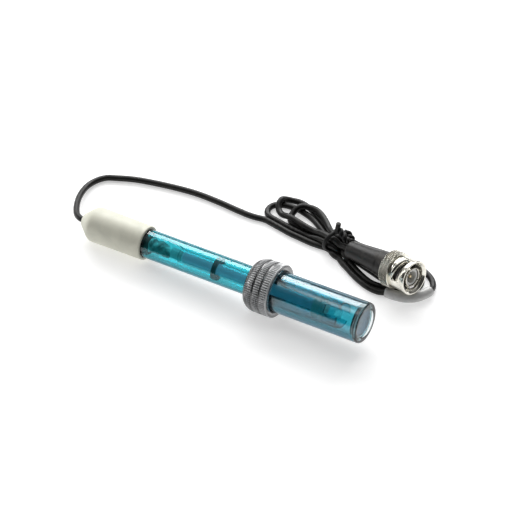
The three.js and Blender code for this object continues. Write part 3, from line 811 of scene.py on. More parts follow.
@dataclass
class Electrode(Assembly):
    """The electrode: cable cap, blue body, glass stem and what is inside them."""

    length: float = 122.5
    radius: float = 6.0
    wall: float = 1.0
    body_back: float = 15.3
    cap_length: float = 31.3
    cap_front_radius: float = 7.2
    cap_back_radius: float = 7.4
    nose_radius: float = 2.6
    nose_length: float = 6.0
    cord_bore: float = 1.32
    slots: int = 4
    slot_width: float = 3.0
    slot_depth: float = 6.0
    stem_back: float = 47.5
    stem_radius: float = 3.0
    stem_wall: float = 0.6
    bulb_radius: float = 3.6
    bulb_middle: float = 118.1
    seal_back: float = 110.9
    lip: float = 0.45
    middle_row: float = 60.0
    resin_from: float = 32.9
    resin_to: float = 43.2
    resin_radius: float = 2.75
    resin_waves: Sequence[tuple[float, int, int, int]] = ((0.22, 9, 2, 0), (0.2, 17, -3, 1), (0.12, 31, 5, 2))
    place: Place = field(init=False)

    def __post_init__(self) -> None:
        """Finds where the electrode lies."""
        self.place = self.joint_place("cap_turn", "bottle_pull", SCREW_JOINT)

    def build(self) -> None:
        """Makes and dresses every piece of the electrode."""
        self.cap()
        self.body()
        self.stem()
        self.resin()
        self.insides()

    def cap(self) -> None:
        """The cable cap: one outline of (along, radius), its corners eased, turned about the axis."""
        bore = self.radius + 0.04
        outline = rounded([
            (0.0, self.cord_bore, 0.1),
            (0.0, self.nose_radius, 0.7),
            (self.nose_length - 1.2, self.cap_back_radius - 0.65, 1.2),
            (self.nose_length + 0.2, self.cap_back_radius, 0.9),
            (self.cap_length, self.cap_front_radius - 0.02, 0.75),
            (self.cap_length, bore, 0.12),
            (self.body_back - 0.3, bore, 0.1),
            (self.body_back - 0.3, self.cord_bore, 0.1),
        ], 7)
        finish = Moulded("cream_polymer", (0.74, 0.735, 0.62), (0.65, 0.65, 0.545), 0.42).material()
        made = piece("cap_moulding", [turned(outline, 128)], finish, self.place)
        self.stand_in(made, Bodies.ELECTRODE, "cream_plastic", "cable_cap")

    def body(self) -> None:
        """The blue body tube with its slotted guard, its outer lip a quarter of a circle."""
        outer, inner, middle = self.radius, self.radius - self.wall, self.middle_row
        front, lip = self.length, self.lip
        rows = [(self.body_back, inner, 0.0), (self.body_back, outer, 0.0), (middle, outer, 0.0)]
        rows += [(front - lip - self.slot_depth, outer, 0.0)]
        rows += [(front - lip + lip * np.sin(t), outer - lip + lip * np.cos(t), 1.0)
                 for t in np.linspace(0, np.pi / 2, 5)]
        rows += [(front, inner + 0.1, 1.0), (front - 0.1, inner, 1.0)]
        rows += [(front - 0.1 - self.slot_depth, inner, 0.0), (middle, inner, 0.0)]
        net = slotted(rows, self.slots, self.slot_width / 2, self.slot_depth)
        finish = Clear("blue_polycarbonate", (0.001, 0.27, 0.345), 0.003, 1.56, 0.015, 0.000004).material()
        made = piece("body_tube", [net], finish, self.place)
        self.stand_in(made, Bodies.ELECTRODE, "blue_plastic", "electrode_body")

    def stem(self) -> None:
        """The glass stem and bulb, a half-circle on the end of a straight line, and what fills them."""
        glass = Clear("stem_glass", (0.86, 0.93, 0.94), 0.004, 1.51, waviness=0.000002).material()
        made = piece("stem_glass", [self.stem_net()], glass, self.place)
        self.stand_in(made, Bodies.ELECTRODE, "glass", "glass_stem")
        # painted light: the gel glows in its own colour, standing for light that reaches it through the
        # tinted walls
        gel = Moulded("stem_gel", (0.66, 0.46, 0.60), (0.54, 0.40, 0.50), 0.5, 0.000004, 0.0006, painted_glow=0.55)
        core = rod(self.stem_back + 2, self.seal_back, self.stem_radius - self.stem_wall - 0.02, 0.3, 48)
        made = piece("stem_filling", [core], gel.material(), self.place)
        self.stand_in(made, Bodies.ELECTRODE, "silicone")

    def stem_net(self) -> Net:
        """The stem's closed outline: out along the wall, round the bulb and back inside, turned."""
        def side(radius: float, bulb: float) -> np.ndarray:
            """One face of the glass: a line at the stem's radius, then the bulb's circle to the axis."""
            angle = np.linspace(np.pi - np.arcsin(radius / bulb), 0, 26)
            round_end = np.stack([self.bulb_middle + bulb * np.cos(angle), bulb * np.sin(angle)], axis=1)
            return np.concatenate([[[self.stem_back, radius]], round_end])

        outer = side(self.stem_radius, self.bulb_radius)
        inner = side(self.stem_radius - self.stem_wall, self.bulb_radius - self.stem_wall)
        return turned(np.concatenate([outer, inner[::-1]]), 72)

    def resin(self) -> None:
        """Resin that ran out of the potting, a bar whose radius and end wander.

        Its radius adds ``height * sin(a * along + b * angle + c)`` for each of the waves, and closes
        as sqrt(1 - along^6) at the front; its front edge swings forwards and back round the axis.
        """
        along = np.linspace(0, 1, 40)[:, None]
        angle = np.arange(60)[None] / 60 * TURN
        waves = sum(high * np.sin(a * along + b * angle + c) for high, a, b, c in self.resin_waves)
        radius = (self.resin_radius + waves) * np.sqrt(1 - along**6) * np.clip(along * 60, 0, 1)
        reach = self.resin_to - 1.4 * np.cos(angle - 1.0) - 0.5 * np.sin(3 * angle)
        points = about_axis(self.resin_from + (reach - self.resin_from) * along, radius, angle)
        points[-1] = [self.resin_to - 0.4, 0, 0]
        # painted light: the run-out resin glows in its own colour
        resin = Moulded("run_out_resin", (0.05, 0.12, 0.12), (0.60, 0.72, 0.72), 0.16, 0.00002, 0.0008,
                        painted_glow=0.5)
        made = piece("resin_runout", [Net(points)], resin.material(), self.place)
        self.stand_in(made, Bodies.ELECTRODE, "epoxy")

    def insides(self) -> None:
        """Dresses the small pieces that show through the body."""
        finishes = (
            (Moulded("potting_resin", (0.012, 0.05, 0.045), (0.03, 0.09, 0.08), 0.2), ["potting_plug"]),
            # painted light: the pale silicone glows in its own colour
            (Moulded("pale_silicone", (0.42, 0.56, 0.58), (0.30, 0.44, 0.46), 0.4, painted_glow=0.35),
             ["stem_stopper", "front_seal"]),
            # painted light: the dark silicone glows faintly in its own colour
            (Moulded("dark_silicone", (0.06, 0.085, 0.09), (0.09, 0.11, 0.11), 0.5, painted_glow=0.2),
             ["centring_ring"]),
            (Plated("silver_wire", (0.92, 0.91, 0.88), (0.74, 0.72, 0.68), self.place.turn, 0.2),
             ["measuring_wire", "reference_wire"]),
            (Moulded("shrink_tube", (0.014, 0.014, 0.015), (0.03, 0.03, 0.03), 0.4),
             ["solder_sleeve", "cord_inner_end"]),
            (Moulded("porous_ceramic", (0.75, 0.73, 0.66), (0.6, 0.58, 0.52), 0.8, 0.00003),
             ["reference_junction"]),
        )
        for finish, nodes in finishes:
            self.dress(finish.material(), *nodes)


@dataclass
class StorageBottle(Assembly):
    """The clear storage bottle with its liquid, its ribbed screw cap and its seals."""

    place: Place = field(init=False)
    radius: float = 8.35
    bore: float = 7.25
    mouth: float = 87.5
    end: float = 132.4
    floor: float = 2.2
    rim_width: float = 2.2
    recess: float = 0.8
    cap_back: float = 81.8
    cap_length: float = 11.8
    cap_radius: float = 11.0
    cap_taper: float = 1.6
    cap_hole: float = 6.35
    cap_bore: float = 8.85
    cap_roof: float = 2.0
    ribs: int = 72
    rib_depth: float = 0.35
    groove_shares: tuple[float, float] = (0.36, 0.64)
    groove_width: float = 0.9
    liquid_bore: float = 6.12
    liquid_back: float = 89.0
    liquid_disc: float = 129.1
    shoulder_shade: float = 0.75
    groove_shade: float = 0.9

    def __post_init__(self) -> None:
        """Finds where the bottle lies."""
        self.place = self.joint_place("cap_turn", "bottle_pull", SCREW_JOINT)

    def build(self) -> None:
        """Makes and dresses every piece of the bottle."""
        self.bottle()
        self.liquid()
        self.screw_cap()
        ring = Moulded("turned_fluoropolymer", (0.78, 0.77, 0.73), (0.7, 0.69, 0.66), 0.4)
        seal = Moulded("seal_silicone", (0.05, 0.09, 0.09), (0.08, 0.11, 0.11), 0.5)
        self.dress(ring.material(), "cap_thrust_ring")
        self.dress(seal.material(), "bottle_o_ring")

    def bottle(self) -> None:
        """The bottle: one closed outline turned about the axis, with a raised rim round its underside."""
        rim = self.radius - self.rim_width
        inside = self.end - self.floor
        outline = rounded([
            (self.mouth, self.bore, 0.12), (self.mouth, self.radius, 0.2),
            (self.end, self.radius, 1.1), (self.end, rim, 0.35),
            (self.end - self.recess, rim - 0.4, 0.3), (self.end - self.recess - 0.1, 0, 0),
            (inside, 0, 0), (inside, self.bore, 1.0),
        ], 9)
        finish = Clear("clear_copolyester", (0.66, 0.74, 0.76), 0.006, 1.53, 0.012, 0.000006).material()
        made = piece("bottle_clear", [turned(outline, 128)], finish, self.place)
        self.stand_in(made, Bodies.BOTTLE, "clear_plastic", "storage_bottle")

    def liquid(self) -> None:
        """Storage solution: a sleeve round the electrode, and a deeper-looking disc on the floor."""
        outer = self.bore + 0.03
        front = self.end - self.floor + 0.03
        outline = rounded([
            (self.liquid_back, self.liquid_bore, 0.2), (self.liquid_back, outer, 0.2),
            (front, outer, 1.0), (front, self.liquid_bore, 0.2),
        ], 7)
        solution = Clear("storage_solution", (0.004, 0.22, 0.32), 0.004, 1.35).material()
        made = piece("storage_liquid", [turned(outline, 96)], solution, self.place)
        self.stand_in(made, Bodies.BOTTLE, "clear_plastic")
        deep = Clear("deep_solution", (0.002, 0.10, 0.16), 0.0016, 1.35).material()
        disc = rod(self.liquid_disc, front, self.liquid_bore - 0.1, 0.4, 72)
        made = piece("liquid_front", [disc], deep, self.place)
        self.stand_in(made, Bodies.BOTTLE, "clear_plastic")

    def screw_cap(self) -> None:
        """The screw cap.

        Its outline is turned with a radius that dips by ``rib_depth`` times a raised cosine of
        ``ribs`` times the angle, wherever the row is one of the ribbed ones.  The shade that its
        finish reads is the dip's share, with the grooves round it and its back shoulder added.
        """
        back, front, radius = self.cap_back, self.cap_back + self.cap_length, self.cap_radius
        low = radius - self.rib_depth - 0.15
        rows: list[tuple[float, float, float]] = [(back, self.cap_hole, 0)]
        rows += [(back, radius - self.cap_taper - 0.4, 0), (back + 0.15, radius - self.cap_taper, 0.2)]
        rows += [(back + 1.4, radius - 0.7, 0.8), (back + 2.6, radius - 0.2, 1), (back + 3.6, radius, 1)]
        for share in self.groove_shares:
            start = back + share * self.cap_length
            end = start + self.groove_width
            rows += [(start - 0.12, radius, 1), (start, radius - 0.12, 1), (start + 0.05, low, 0)]
            rows += [(end - 0.05, low, 0), (end, radius - 0.12, 1), (end + 0.12, radius, 1)]
        rows += [(front - 0.75, radius, 1), (front - 0.6, radius - 0.02, 0.3), (front - 0.5, radius, 0)]
        rows += [(front - 0.5 + 0.5 * np.sin(t), radius - 0.5 + 0.5 * np.cos(t), 0)
                 for t in np.linspace(0, np.pi / 2, 6)[1:]]
        rows += [(front, self.cap_bore + 0.2, 0), (front - 0.2, self.cap_bore, 0)]
        rows += [(back + self.cap_roof, self.cap_bore, 0), (back + self.cap_roof, self.cap_hole, 0)]
        along, rim, ribbed = (np.array(rows)[:, k, None] for k in range(3))
        angle = np.arange(self.ribs * 8)[None] / (self.ribs * 8) * TURN
        dip = self.rib_depth * ribbed * (0.5 - 0.5 * np.cos(self.ribs * angle))
        shoulder = self.shoulder_shade * np.clip(1 - (along - back - 1.6) / 1.2, 0, 1) * (rim > self.cap_bore)
        bottom = self.groove_shade * (rim < low + 0.01) * (rim > self.cap_bore + 0.3)
        shade = np.clip(dip / self.rib_depth + bottom + shoulder, 0, 1)
        net = Net(about_axis(along, rim - dip, angle), close_rows=True)
        finish = Ribbed("clear_styrene", (0.62, 0.635, 0.65), (0.008, 0.009, 0.010)).material()
        made = piece("screw_cap_ribbed", [net], finish, self.place, 50, shade)
        self.stand_in(made, Bodies.SCREW_CAP, "clear_plastic", "storage_cap")


@dataclass
class Plug(Assembly):
    """The bayonet plug: boot, knurled nut, sprung contact, insulator and pin."""

    place: Place = field(init=False)
    length: float = 35.0
    boot_tail: float = 3.7
    boot_front: float = 5.7
    boot_end: float = 22.0
    boot_hollow: float = 0.18
    cord_bore: float = 1.32
    barrel_room: float = 5.25
    nut_back: float = 22.3
    knurl_radius: float = 7.6
    knurl_length: float = 4.4
    knurl_count: int = 54
    knurl_depth: float = 0.3
    knurl_power: float = 2.2
    neck_radius: float = 6.6
    neck_end: float = 27.8
    nut_radius: float = 7.1
    nut_bore: float = 5.55
    nut_back_bore: float = 4.85
    nut_cavity: float = 25.2
    slot_radius: float = 1.15
    slot_front: float = 32.1
    slot_ramp: float = 2.2
    slot_turn: float = 75.0
    shell_radius: float = 4.1
    shell_wall: float = 0.55
    shell_front: float = 34.1
    flange_back: float = 27.6
    flange_front: float = 28.4
    flange_radius: float = 5.25
    barrel_radius: float = 4.6
    barrel_back: float = 17.3
    clip_groove: tuple[float, float] = (21.15, 22.15)
    clip_depth: float = 0.5
    ferrule_back: float = 11.3
    ferrule_room: float = 3.5
    insulator_radius: float = 3.45
    insulator_wall: float = 0.95
    insulator_back: float = 24.6
    insulator_front: float = 33.5
    insulator_recess: float = 6.0
    pin_radius: float = 0.68
    pin_back: float = 23.1

    def __post_init__(self) -> None:
        """Finds where the plug lies."""
        self.place = self.joint_place("nut_turn", "nut_push", self.nut_back)

    def build(self) -> list[bpy.types.Object]:
        """Makes and dresses every piece of the plug, and returns the ones that end the cord."""
        turn = self.place.turn
        nickel = Plated("nickel_plate", (0.62, 0.60, 0.54), (0.47, 0.44, 0.38), turn, 0.13).material()
        # painted shade: the knurl's grooves are darkened towards a dark brown-grey
        knurled = Plated("knurled_nickel", (0.82, 0.80, 0.72), (0.62, 0.59, 0.52), turn, 0.13,
                         painted_groove_shade=(0.14, 0.13, 0.105)).material()
        made = [self.boot(), self.nut(knurled), self.shell(nickel), self.insulator(), self.pin()]
        inner = ["crimp_ferrule", "retaining_clip", "spring_washer", "thrust_washer"]
        self.dress(nickel, *inner)
        seal = Moulded("plug_seal", (0.08, 0.08, 0.08), (0.12, 0.12, 0.12), 0.5)
        jacket = Jacket("cord_end", (0.014, 0.014, 0.014), (0.04, 0.04, 0.04))
        self.dress(seal.material(), "plug_gasket")
        self.dress(jacket.material(), "plug_cord_end")
        inner += ["plug_gasket", "plug_cord_end"]
        return made + [self.frame["nodes"][name] for name in inner]

    def boot(self) -> bpy.types.Object:
        """The boot: a cone, less half a wave, so that its wall is hollowed a little in the middle."""
        share = np.linspace(0, 1, 24)[:, None]
        along = 0.8 + (self.boot_end - 1.5) * share
        radius = self.boot_tail + (self.boot_front - self.boot_tail) * share**1.15
        radius -= self.boot_hollow * np.sin(np.pi * share)
        side = np.concatenate([along, radius, 0 * share], axis=1)
        corners = [(0.0, self.cord_bore, 0.05), (0.0, self.boot_tail, 0.8)] + [tuple(row) for row in side[1:]]
        corners += [(self.boot_end, self.boot_front - 0.02, 0.35), (self.boot_end, self.barrel_room, 0.05)]
        step = self.barrel_back - 0.3
        corners += [(step, self.barrel_room, 0), (step, self.ferrule_room, 0)]
        corners += [(self.ferrule_back, self.ferrule_room, 0), (self.ferrule_back, self.cord_bore, 0)]
        rubber = Jacket("boot_rubber", (0.014, 0.0135, 0.013), (0.055, 0.049, 0.042), 0.36, 0.000014)
        made = piece("boot_moulding", [turned(rounded(corners), 96)], rubber.material(), self.place)
        return self.stand_in(made, Bodies.ELECTRODE, "black_rubber", "plug_boot")

    def nut(self, finish: bpy.types.Material) -> bpy.types.Object:
        """The coupling nut.

        Its grip dips by ``knurl_depth`` times the larger of two crossed sets of rounded grooves:
        a raised cosine of (count * angle + k * along) and one of (count * angle - k * along), each
        to ``knurl_power``.

        Args:
            finish: The nut's material.

        Returns:
            The piece.
        """
        knurl_end = self.nut_back + self.knurl_length
        front = self.length
        grip = np.linspace(self.nut_back + 0.3, knurl_end - 0.3, 46)
        rows = [(self.nut_back, self.nut_back_bore, 0), (self.nut_back, self.knurl_radius - 0.35, 0)]
        rows += [(self.nut_back + 0.12, self.knurl_radius - 0.1, 0)]
        rows += [(float(a), self.knurl_radius, 1) for a in grip]
        rows += [(knurl_end - 0.12, self.knurl_radius - 0.1, 0), (knurl_end, self.knurl_radius - 0.35, 0)]
        plain = rounded([
            (knurl_end, self.neck_radius, 0.15), (self.neck_end, self.neck_radius, 0.1),
            (self.neck_end + 0.4, self.nut_radius - 0.2, 0.25), (front - 1.6, self.nut_radius - 0.2, 0.1),
            (front - 1.35, self.nut_radius, 0.1), (front, self.nut_radius, 0.35),
            (front, self.nut_radius - 0.6, 0.15), (front - 0.9, self.nut_bore, 0.2),
            (self.nut_cavity, self.nut_bore, 0), (self.nut_cavity, self.nut_back_bore, 0),
        ], 5, closed=False)
        rows += [(float(a), float(r), 0) for a, r in plain]
        along, radius, share = (np.array(rows)[:, k, None] for k in range(3))
        angle = np.arange(self.knurl_count * 6)[None] / (self.knurl_count * 6) * TURN
        k = self.knurl_count / self.knurl_radius
        one, two = (0.5 - 0.5 * np.cos(self.knurl_count * angle + s * k * along) for s in (1, -1))
        rim = radius - self.knurl_depth * share * np.maximum(one**self.knurl_power, two**self.knurl_power)
        # how deep each point lies in the knurl, which the finish paints as shade
        groove = np.clip((radius - rim) / self.knurl_depth, 0, 1)
        net = Net(about_axis(along, rim, angle), close_rows=True)
        made = piece("nut_knurled", [net], finish, self.place, 30, groove)
        for start in (90.0, 270.0):
            cut(made, piece("slot_cutter", [self.slot_net(start)], finish, self.place))
        return self.stand_in(made, Bodies.NUT, "nickel", "coupling_nut")

    def slot_net(self, start: float) -> Net:
        """The room of one bayonet slot: a flat bar with round ends, bent round the axis.

        Its middle line goes back by ``slot_ramp`` while it turns by ``slot_turn``; its half width
        is the slot's radius, less what the circle at either end takes off.

        Args:
            start: The angle of the slot's front end, in degrees.

        Returns:
            The closed net of the room.
        """
        reach = np.radians(self.slot_turn) * self.nut_radius
        run = np.hypot(reach, self.slot_ramp)
        r = self.slot_radius
        spot = -r * np.cos(np.linspace(0, 1, 30) * np.pi)
        spot = np.concatenate([spot[:15], np.linspace(0, run, 20), run + spot[15:]])
        over = np.maximum(np.maximum(-spot, spot - run), 0)
        half = np.sqrt(np.clip(r**2 - over**2, 0, None))
        across = np.stack([-half, half, half, -half], axis=1)
        low, high = self.nut_bore - 0.6, self.nut_radius + 0.8
        level = np.array([low, low, high, high])
        forward, round_by = self.slot_ramp / run, reach / run
        along = self.slot_front - spot[:, None] * forward + across * round_by
        angle = np.radians(start) + (spot[:, None] * round_by + across * forward) / self.nut_radius
        return Net(about_axis(along, level, angle))

    def shell(self, finish: bpy.types.Material) -> bpy.types.Object:
        """The sprung contact: a thin tube with four slits, a flange and the barrel behind.

        Args:
            finish: The contact's material.

        Returns:
            The piece.
        """
        inner, outer, front = self.shell_radius - self.shell_wall, self.shell_radius, self.shell_front
        depth = front - self.flange_front - 1.6
        barrel, groove = self.barrel_radius, self.barrel_radius - self.clip_depth
        start, end = self.clip_groove
        rows = [(self.barrel_back, inner, 0), (self.barrel_back, barrel, 0)]
        rows += [(start, barrel, 0), (start, groove, 0), (end, groove, 0), (end, barrel, 0)]
        rows += [(self.flange_back, barrel, 0), (self.flange_back, self.flange_radius, 0)]
        rows += [(self.flange_front, self.flange_radius, 0), (self.flange_front, outer, 0)]
        rows += [(front - 0.35 - depth, outer, 0), (front - 0.35, outer, 1), (front - 0.1, outer - 0.1, 1)]
        rows += [(front, outer - 0.28, 1), (front - 0.08, inner, 1), (front - 0.08 - depth, inner, 0)]
        made = piece("contact_fingers", [slotted(rows, 4, 0.2, depth, 24)], finish, self.place, 32)
        return self.stand_in(made, Bodies.ELECTRODE, "nickel", "plug_shell")

    def insulator(self) -> bpy.types.Object:
        """The insulator: a tube that opens as a deep round recess round the pin."""
        back, front, outer = self.insulator_back, self.insulator_front, self.insulator_radius
        inner, bottom = outer - self.insulator_wall, front - self.insulator_recess
        hole = self.pin_radius + 0.1
        outline = rounded([
            (back, hole, 0), (back, outer, 0.2), (front, outer, 0.22), (front, inner, 0.2),
            (bottom, inner, 0.3), (bottom, hole, 0),
        ])
        finish = Moulded("white_fluoropolymer", (0.80, 0.80, 0.77), (0.72, 0.72, 0.69), 0.38).material()
        made = piece("insulator_turned", [turned(outline, 72)], finish, self.place)
        return self.stand_in(made, Bodies.ELECTRODE, "white_plastic", "plug_insulator")

    def pin(self) -> bpy.types.Object:
        """The centre pin with a rounded tip."""
        tip = self.insulator_front - 0.6
        outline = rounded([
            (self.pin_back, 0, 0), (self.pin_back, self.pin_radius, 0.1),
            (tip, self.pin_radius, 0.6), (tip, 0, 0),
        ], 8, closed=False)
        finish = Plated("gold_plate", (0.66, 0.54, 0.34), (0.5, 0.42, 0.28), self.place.turn, 0.2).material()
        made = piece("pin_turned", [turned(outline, 36, closed=False)], finish, self.place)
        return self.stand_in(made, Bodies.ELECTRODE, "gold_contact", "centre_pin")


@dataclass
class Lead(Assembly):
    """The lead: one cord from the cable cap through the tied hank to the plug, its sleeve and its tie.

    Points are in millimetres: X from where the lead leaves the cable cap, Y and Z from the frame.
    """

    electrode: Electrode
    plug: Plug
    radius: float = 1.3
    sleeve_radius: float = 2.15
    sleeve_wall: float = 0.6
    tie_wire: float = 0.85
    tie_place: tuple[float, float, float] = (92.6, 44.6, 5.4)
    tie_direction: float = -21.0
    tie_half_width: float = 5.0
    least_bend: float = 6.5
    step: float = 1.2
    final_step: float = 0.45
    rounds: int = 320
    neighbours: float = 8.0
    tie_reach: float = 4.6
    tie_freedom: float = 0.12
    fixed_end: int = 8
    push_share: float = 0.5
    smooth_share: float = 0.08
    unbend_share: float = 0.3
    even_share: float = 0.1
    return_share: float = 0.1
    sink: float = 0.012
    twists: float = 3.6
    twist_radius: float = 0.72
    stub_share: float = 1.25
    tie_curl: Sequence[Sequence[float]] = (
        (-0.6, 0.6, 0.5), (1.6, 1.4, 1.0), (4.2, 1.2, 0.7), (6.6, 0.9, -0.1),
        (7.9, 2.0, -1.0), (6.9, 3.6, -1.2), (4.4, 4.0, -0.5), (2.2, 3.2, 0.2),
    )
    tie_stub: Sequence[Sequence[float]] = ((1.0, 0.2, -0.2), (1.2, 0.9, 2.2), (1.3, 1.3, 4.9))
    run_in: Sequence[Sequence[float]] = (
        (-3.4, 1.1, 6.5), (-5.9, 3.4, 5.8), (-9.2, 8.2, 4.8), (-12.4, 14.8, 3.6), (-14.4, 22.3, 2.2),
        (-14, 28.2, 1.5), (-11.4, 32.6, 1.4), (-7.2, 35, 1.4), (-0.6, 38, 1.4), (6.8, 40.2, 1.4),
        (16.6, 42.4, 1.4), (27, 43.9, 1.4), (38.1, 44, 1.4), (47.6, 43.5, 1.4), (54.6, 43.6, 1.4),
    )
    sleeve_run: Sequence[Sequence[float]] = (
        (124.8, 30.6, 2.2), (128.1, 30.8, 2.2), (132.3, 31.7, 2.2), (135.9, 33.9, 2.2),
        (138.2, 37.2, 2.2), (139.4, 40.4, 2.2),
    )
    outer_out: Sequence[Sequence[float]] = (
        (59.4, 44.5, 1.4), (62.5, 44.7, 1.4), (67.5, 43.9, 1.4), (73, 42.9, 1.4), (78, 42.3, 1.4),
        (83, 42, 1.5), (87.6, 42.3, 2.1), (91.8, 42.3, 2.9), (96.6, 40.6, 2.4), (101.9, 37.4, 1.4),
        (105.6, 35.1, 1.4), (109.4, 33, 1.4), (115.6, 30.6, 1.4), (120.6, 30, 1.7),
    )
    outer_back: Sequence[Sequence[float]] = (
        (138.9, 44.2, 1.8), (136.2, 47.8, 1.5), (131.7, 50.3, 1.4), (126, 51.6, 1.4), (119.5, 51.9, 1.4),
        (113, 51.3, 1.4), (106.5, 50.1, 1.4), (100.5, 48.6, 1.8), (96.8, 47.4, 2.5), (93.3, 46.7, 2.9),
    )
    low_loop: Sequence[Sequence[float]] = (
        (89.6, 47.9, 2.2), (86, 49.7, 1.7), (82.5, 51.7, 1.4), (78.9, 53.9, 1.4), (75.7, 55.4, 1.4),
        (72.2, 56.5, 1.4), (68.8, 57.1, 1.4), (65.6, 57.3, 1.4), (62.7, 56.9, 1.4), (60.1, 56.1, 1.4),
        (58.1, 54.2, 1.4), (57.4, 51.6, 1.4), (58.1, 49, 1.4), (60, 47.2, 1.4), (62.8, 46.2, 1.4),
        (66.2, 45.6, 1.4), (70, 45.1, 1.4), (74, 44.9, 1.4), (77.5, 44.8, 1.4), (82.5, 44.5, 1.7),
        (87, 43.8, 3.3), (91.67, 42.17, 5.4),
    )
    inner_turn: Sequence[Sequence[float]] = (
        (95.7, 42.5, 4.2), (99.5, 42.4, 2.3), (104, 41.7, 1.4), (109, 40.4, 1.4), (114, 39.1, 1.4),
        (118.5, 37.8, 1.4), (121.4, 37.2, 1.4), (124.2, 37.2, 1.4), (126.9, 38, 1.4), (128.9, 39.9, 1.4),
        (129.7, 42.7, 1.4), (128.9, 45.5, 1.4), (126.9, 47.4, 1.4), (124.2, 48.3, 1.4), (120, 48.4, 1.4),
        (113.5, 48, 1.4), (107, 47.3, 1.8), (102, 46.7, 3.4), (97.5, 46.4, 5.8), (93.2, 46.5, 7.3),
    )
    middle_loop: Sequence[Sequence[float]] = (
        (89.5, 48.5, 6.3), (86.2, 51.6, 5), (82.9, 54.5, 4.2), (79.6, 56.9, 4), (76.5, 58.2, 4),
        (73.4, 58.5, 4), (70.6, 57.7, 4), (68.6, 55.6, 3.8), (67.8, 52.8, 3.1), (68.6, 50, 2),
        (70.7, 48.1, 1.4), (73.5, 47.3, 1.4), (77, 47.2, 1.4), (80.7, 47, 1.4), (85, 46.3, 2.2),
        (89, 45.4, 3.9), (92.6, 44.6, 5.4),
    )
    middle_turn: Sequence[Sequence[float]] = (
        (95.8, 43.4, 4.4), (99.2, 41.4, 2.6), (103.2, 39.1, 1.4), (107, 37.2, 1.4), (111, 35.1, 1.4),
        (116.4, 33.2, 1.4), (121.4, 33.4, 1.4), (125.4, 34.3, 1.4), (128.8, 34.8, 1.4), (131.8, 36.3, 1.4),
        (133.8, 39.2, 1.4), (134.1, 42.8, 1.5), (132.1, 46.4, 2.4), (128, 48.9, 3.3), (122.5, 49.9, 3.6),
        (115.5, 49.8, 3.6), (108.5, 48.9, 3.6), (102.5, 48.2, 4), (98, 47.9, 4.9), (93.8, 47.7, 5.2),
    )
    top_loop: Sequence[Sequence[float]] = (
        (90, 49.5, 3.6), (87.2, 51.4, 2.4), (84, 53.6, 1.6), (80.3, 56, 1.4), (76.6, 58.1, 1.4),
        (73.1, 59.9, 1.4), (69.5, 61.2, 1.4), (66.2, 61.6, 1.5), (63.3, 60.8, 1.9), (61.2, 58.7, 2.6),
        (60.4, 55.8, 3.4), (61.1, 53, 3.9), (63.2, 50.9, 4), (66.4, 49.6, 4), (70.5, 48.5, 4),
        (74.9, 47.5, 4), (79.2, 46.7, 4), (83.3, 46.2, 4.2), (87.2, 45.1, 5.6), (92.1, 43.5, 7),
    )

    def build(self, far_pieces: list[bpy.types.Object]) -> None:
        """Args:
            far_pieces: The plug's pieces; not used.
        """
        finish = Jacket("cord_jacket", (0.009, 0.0088, 0.0085), (0.03, 0.028, 0.025), 0.36).material()
        line = self.route()
        cord = piece("lead_cord", [carried(line, self.radius * MM, 18)], finish)
        self.stand_in(cord, Bodies.ELECTRODE, "cord_jacket", "cord_lead", "cord_hank")
        sleeve, tie = self.sleeve(line), self.tie()
        log.info("lead_cord is %.0f mm long", length_of(line) * 1000)

    def in_frame(self, points: Sequence[Sequence[float]]) -> np.ndarray:
        """Takes the lead's own points to the frame, in metres."""
        start = self.electrode.place.metres(np.array([[-0.3, 0.0, 0.0]]))[0]
        return MM * np.array(points, float) + [start[0], 0.0, 0.0]

    def route(self) -> np.ndarray:
        """The centre line, from inside the cable cap to inside the boot.

        The chosen points are joined by a smooth curve, and then the strands of the hank settle.
        """
        out = self.electrode.place.metres(np.array([[0.25, 0, 0], [-0.3, 0, 0], [-1.6, 0, 0]], float))
        into = self.plug.place.metres(np.array([[-5.5, 0, 0], [-3, 0, 0], [-1.2, 0, 0], [0.25, 0, 0]], float))
        hank = [self.outer_out, self.sleeve_run, self.outer_back, self.low_loop, self.inner_turn]
        hank += [self.middle_loop, self.middle_turn, self.top_loop]
        points = np.concatenate([out, self.in_frame(self.run_in), *map(self.in_frame, hank), into])
        line = even(spline(points), self.step * MM)
        first = station(line, self.in_frame([self.run_in[-2]])[0])
        settled = self.settle(line[first:])
        return even(spline(np.concatenate([line[:first], settled]), 3), self.final_step * MM)

    def in_sleeve(self, line: np.ndarray) -> slice:
        """The points of a line that the white sleeve holds."""
        first, last = (station(line, self.in_frame([self.sleeve_run[k]])[0]) for k in (0, -1))
        return slice(first, last + 1)

    def freedom(self, laid: np.ndarray, sleeve: slice) -> np.ndarray:
        """How far each point follows its moves: little in the tie, not at all in the sleeve and boot.

        Args:
            laid: The laid strands, in millimetres.
            sleeve: The points in the sleeve.

        Returns:
            A share for each point, averaged over nine points, with both ends held.
        """
        free = np.ones(len(laid))
        tie = self.in_frame([self.tie_place])[0] / MM
        free[np.linalg.norm(laid - tie, axis=1) < self.tie_reach] = self.tie_freedom
        free[sleeve] = 0.0
        free[-self.fixed_end :] = 0.0
        free = np.convolve(np.pad(free, 4, mode="edge"), np.full(9, 1 / 9), "valid")
        free[:3] = 0.0
        free[-self.fixed_end :] = 0.0
        return free

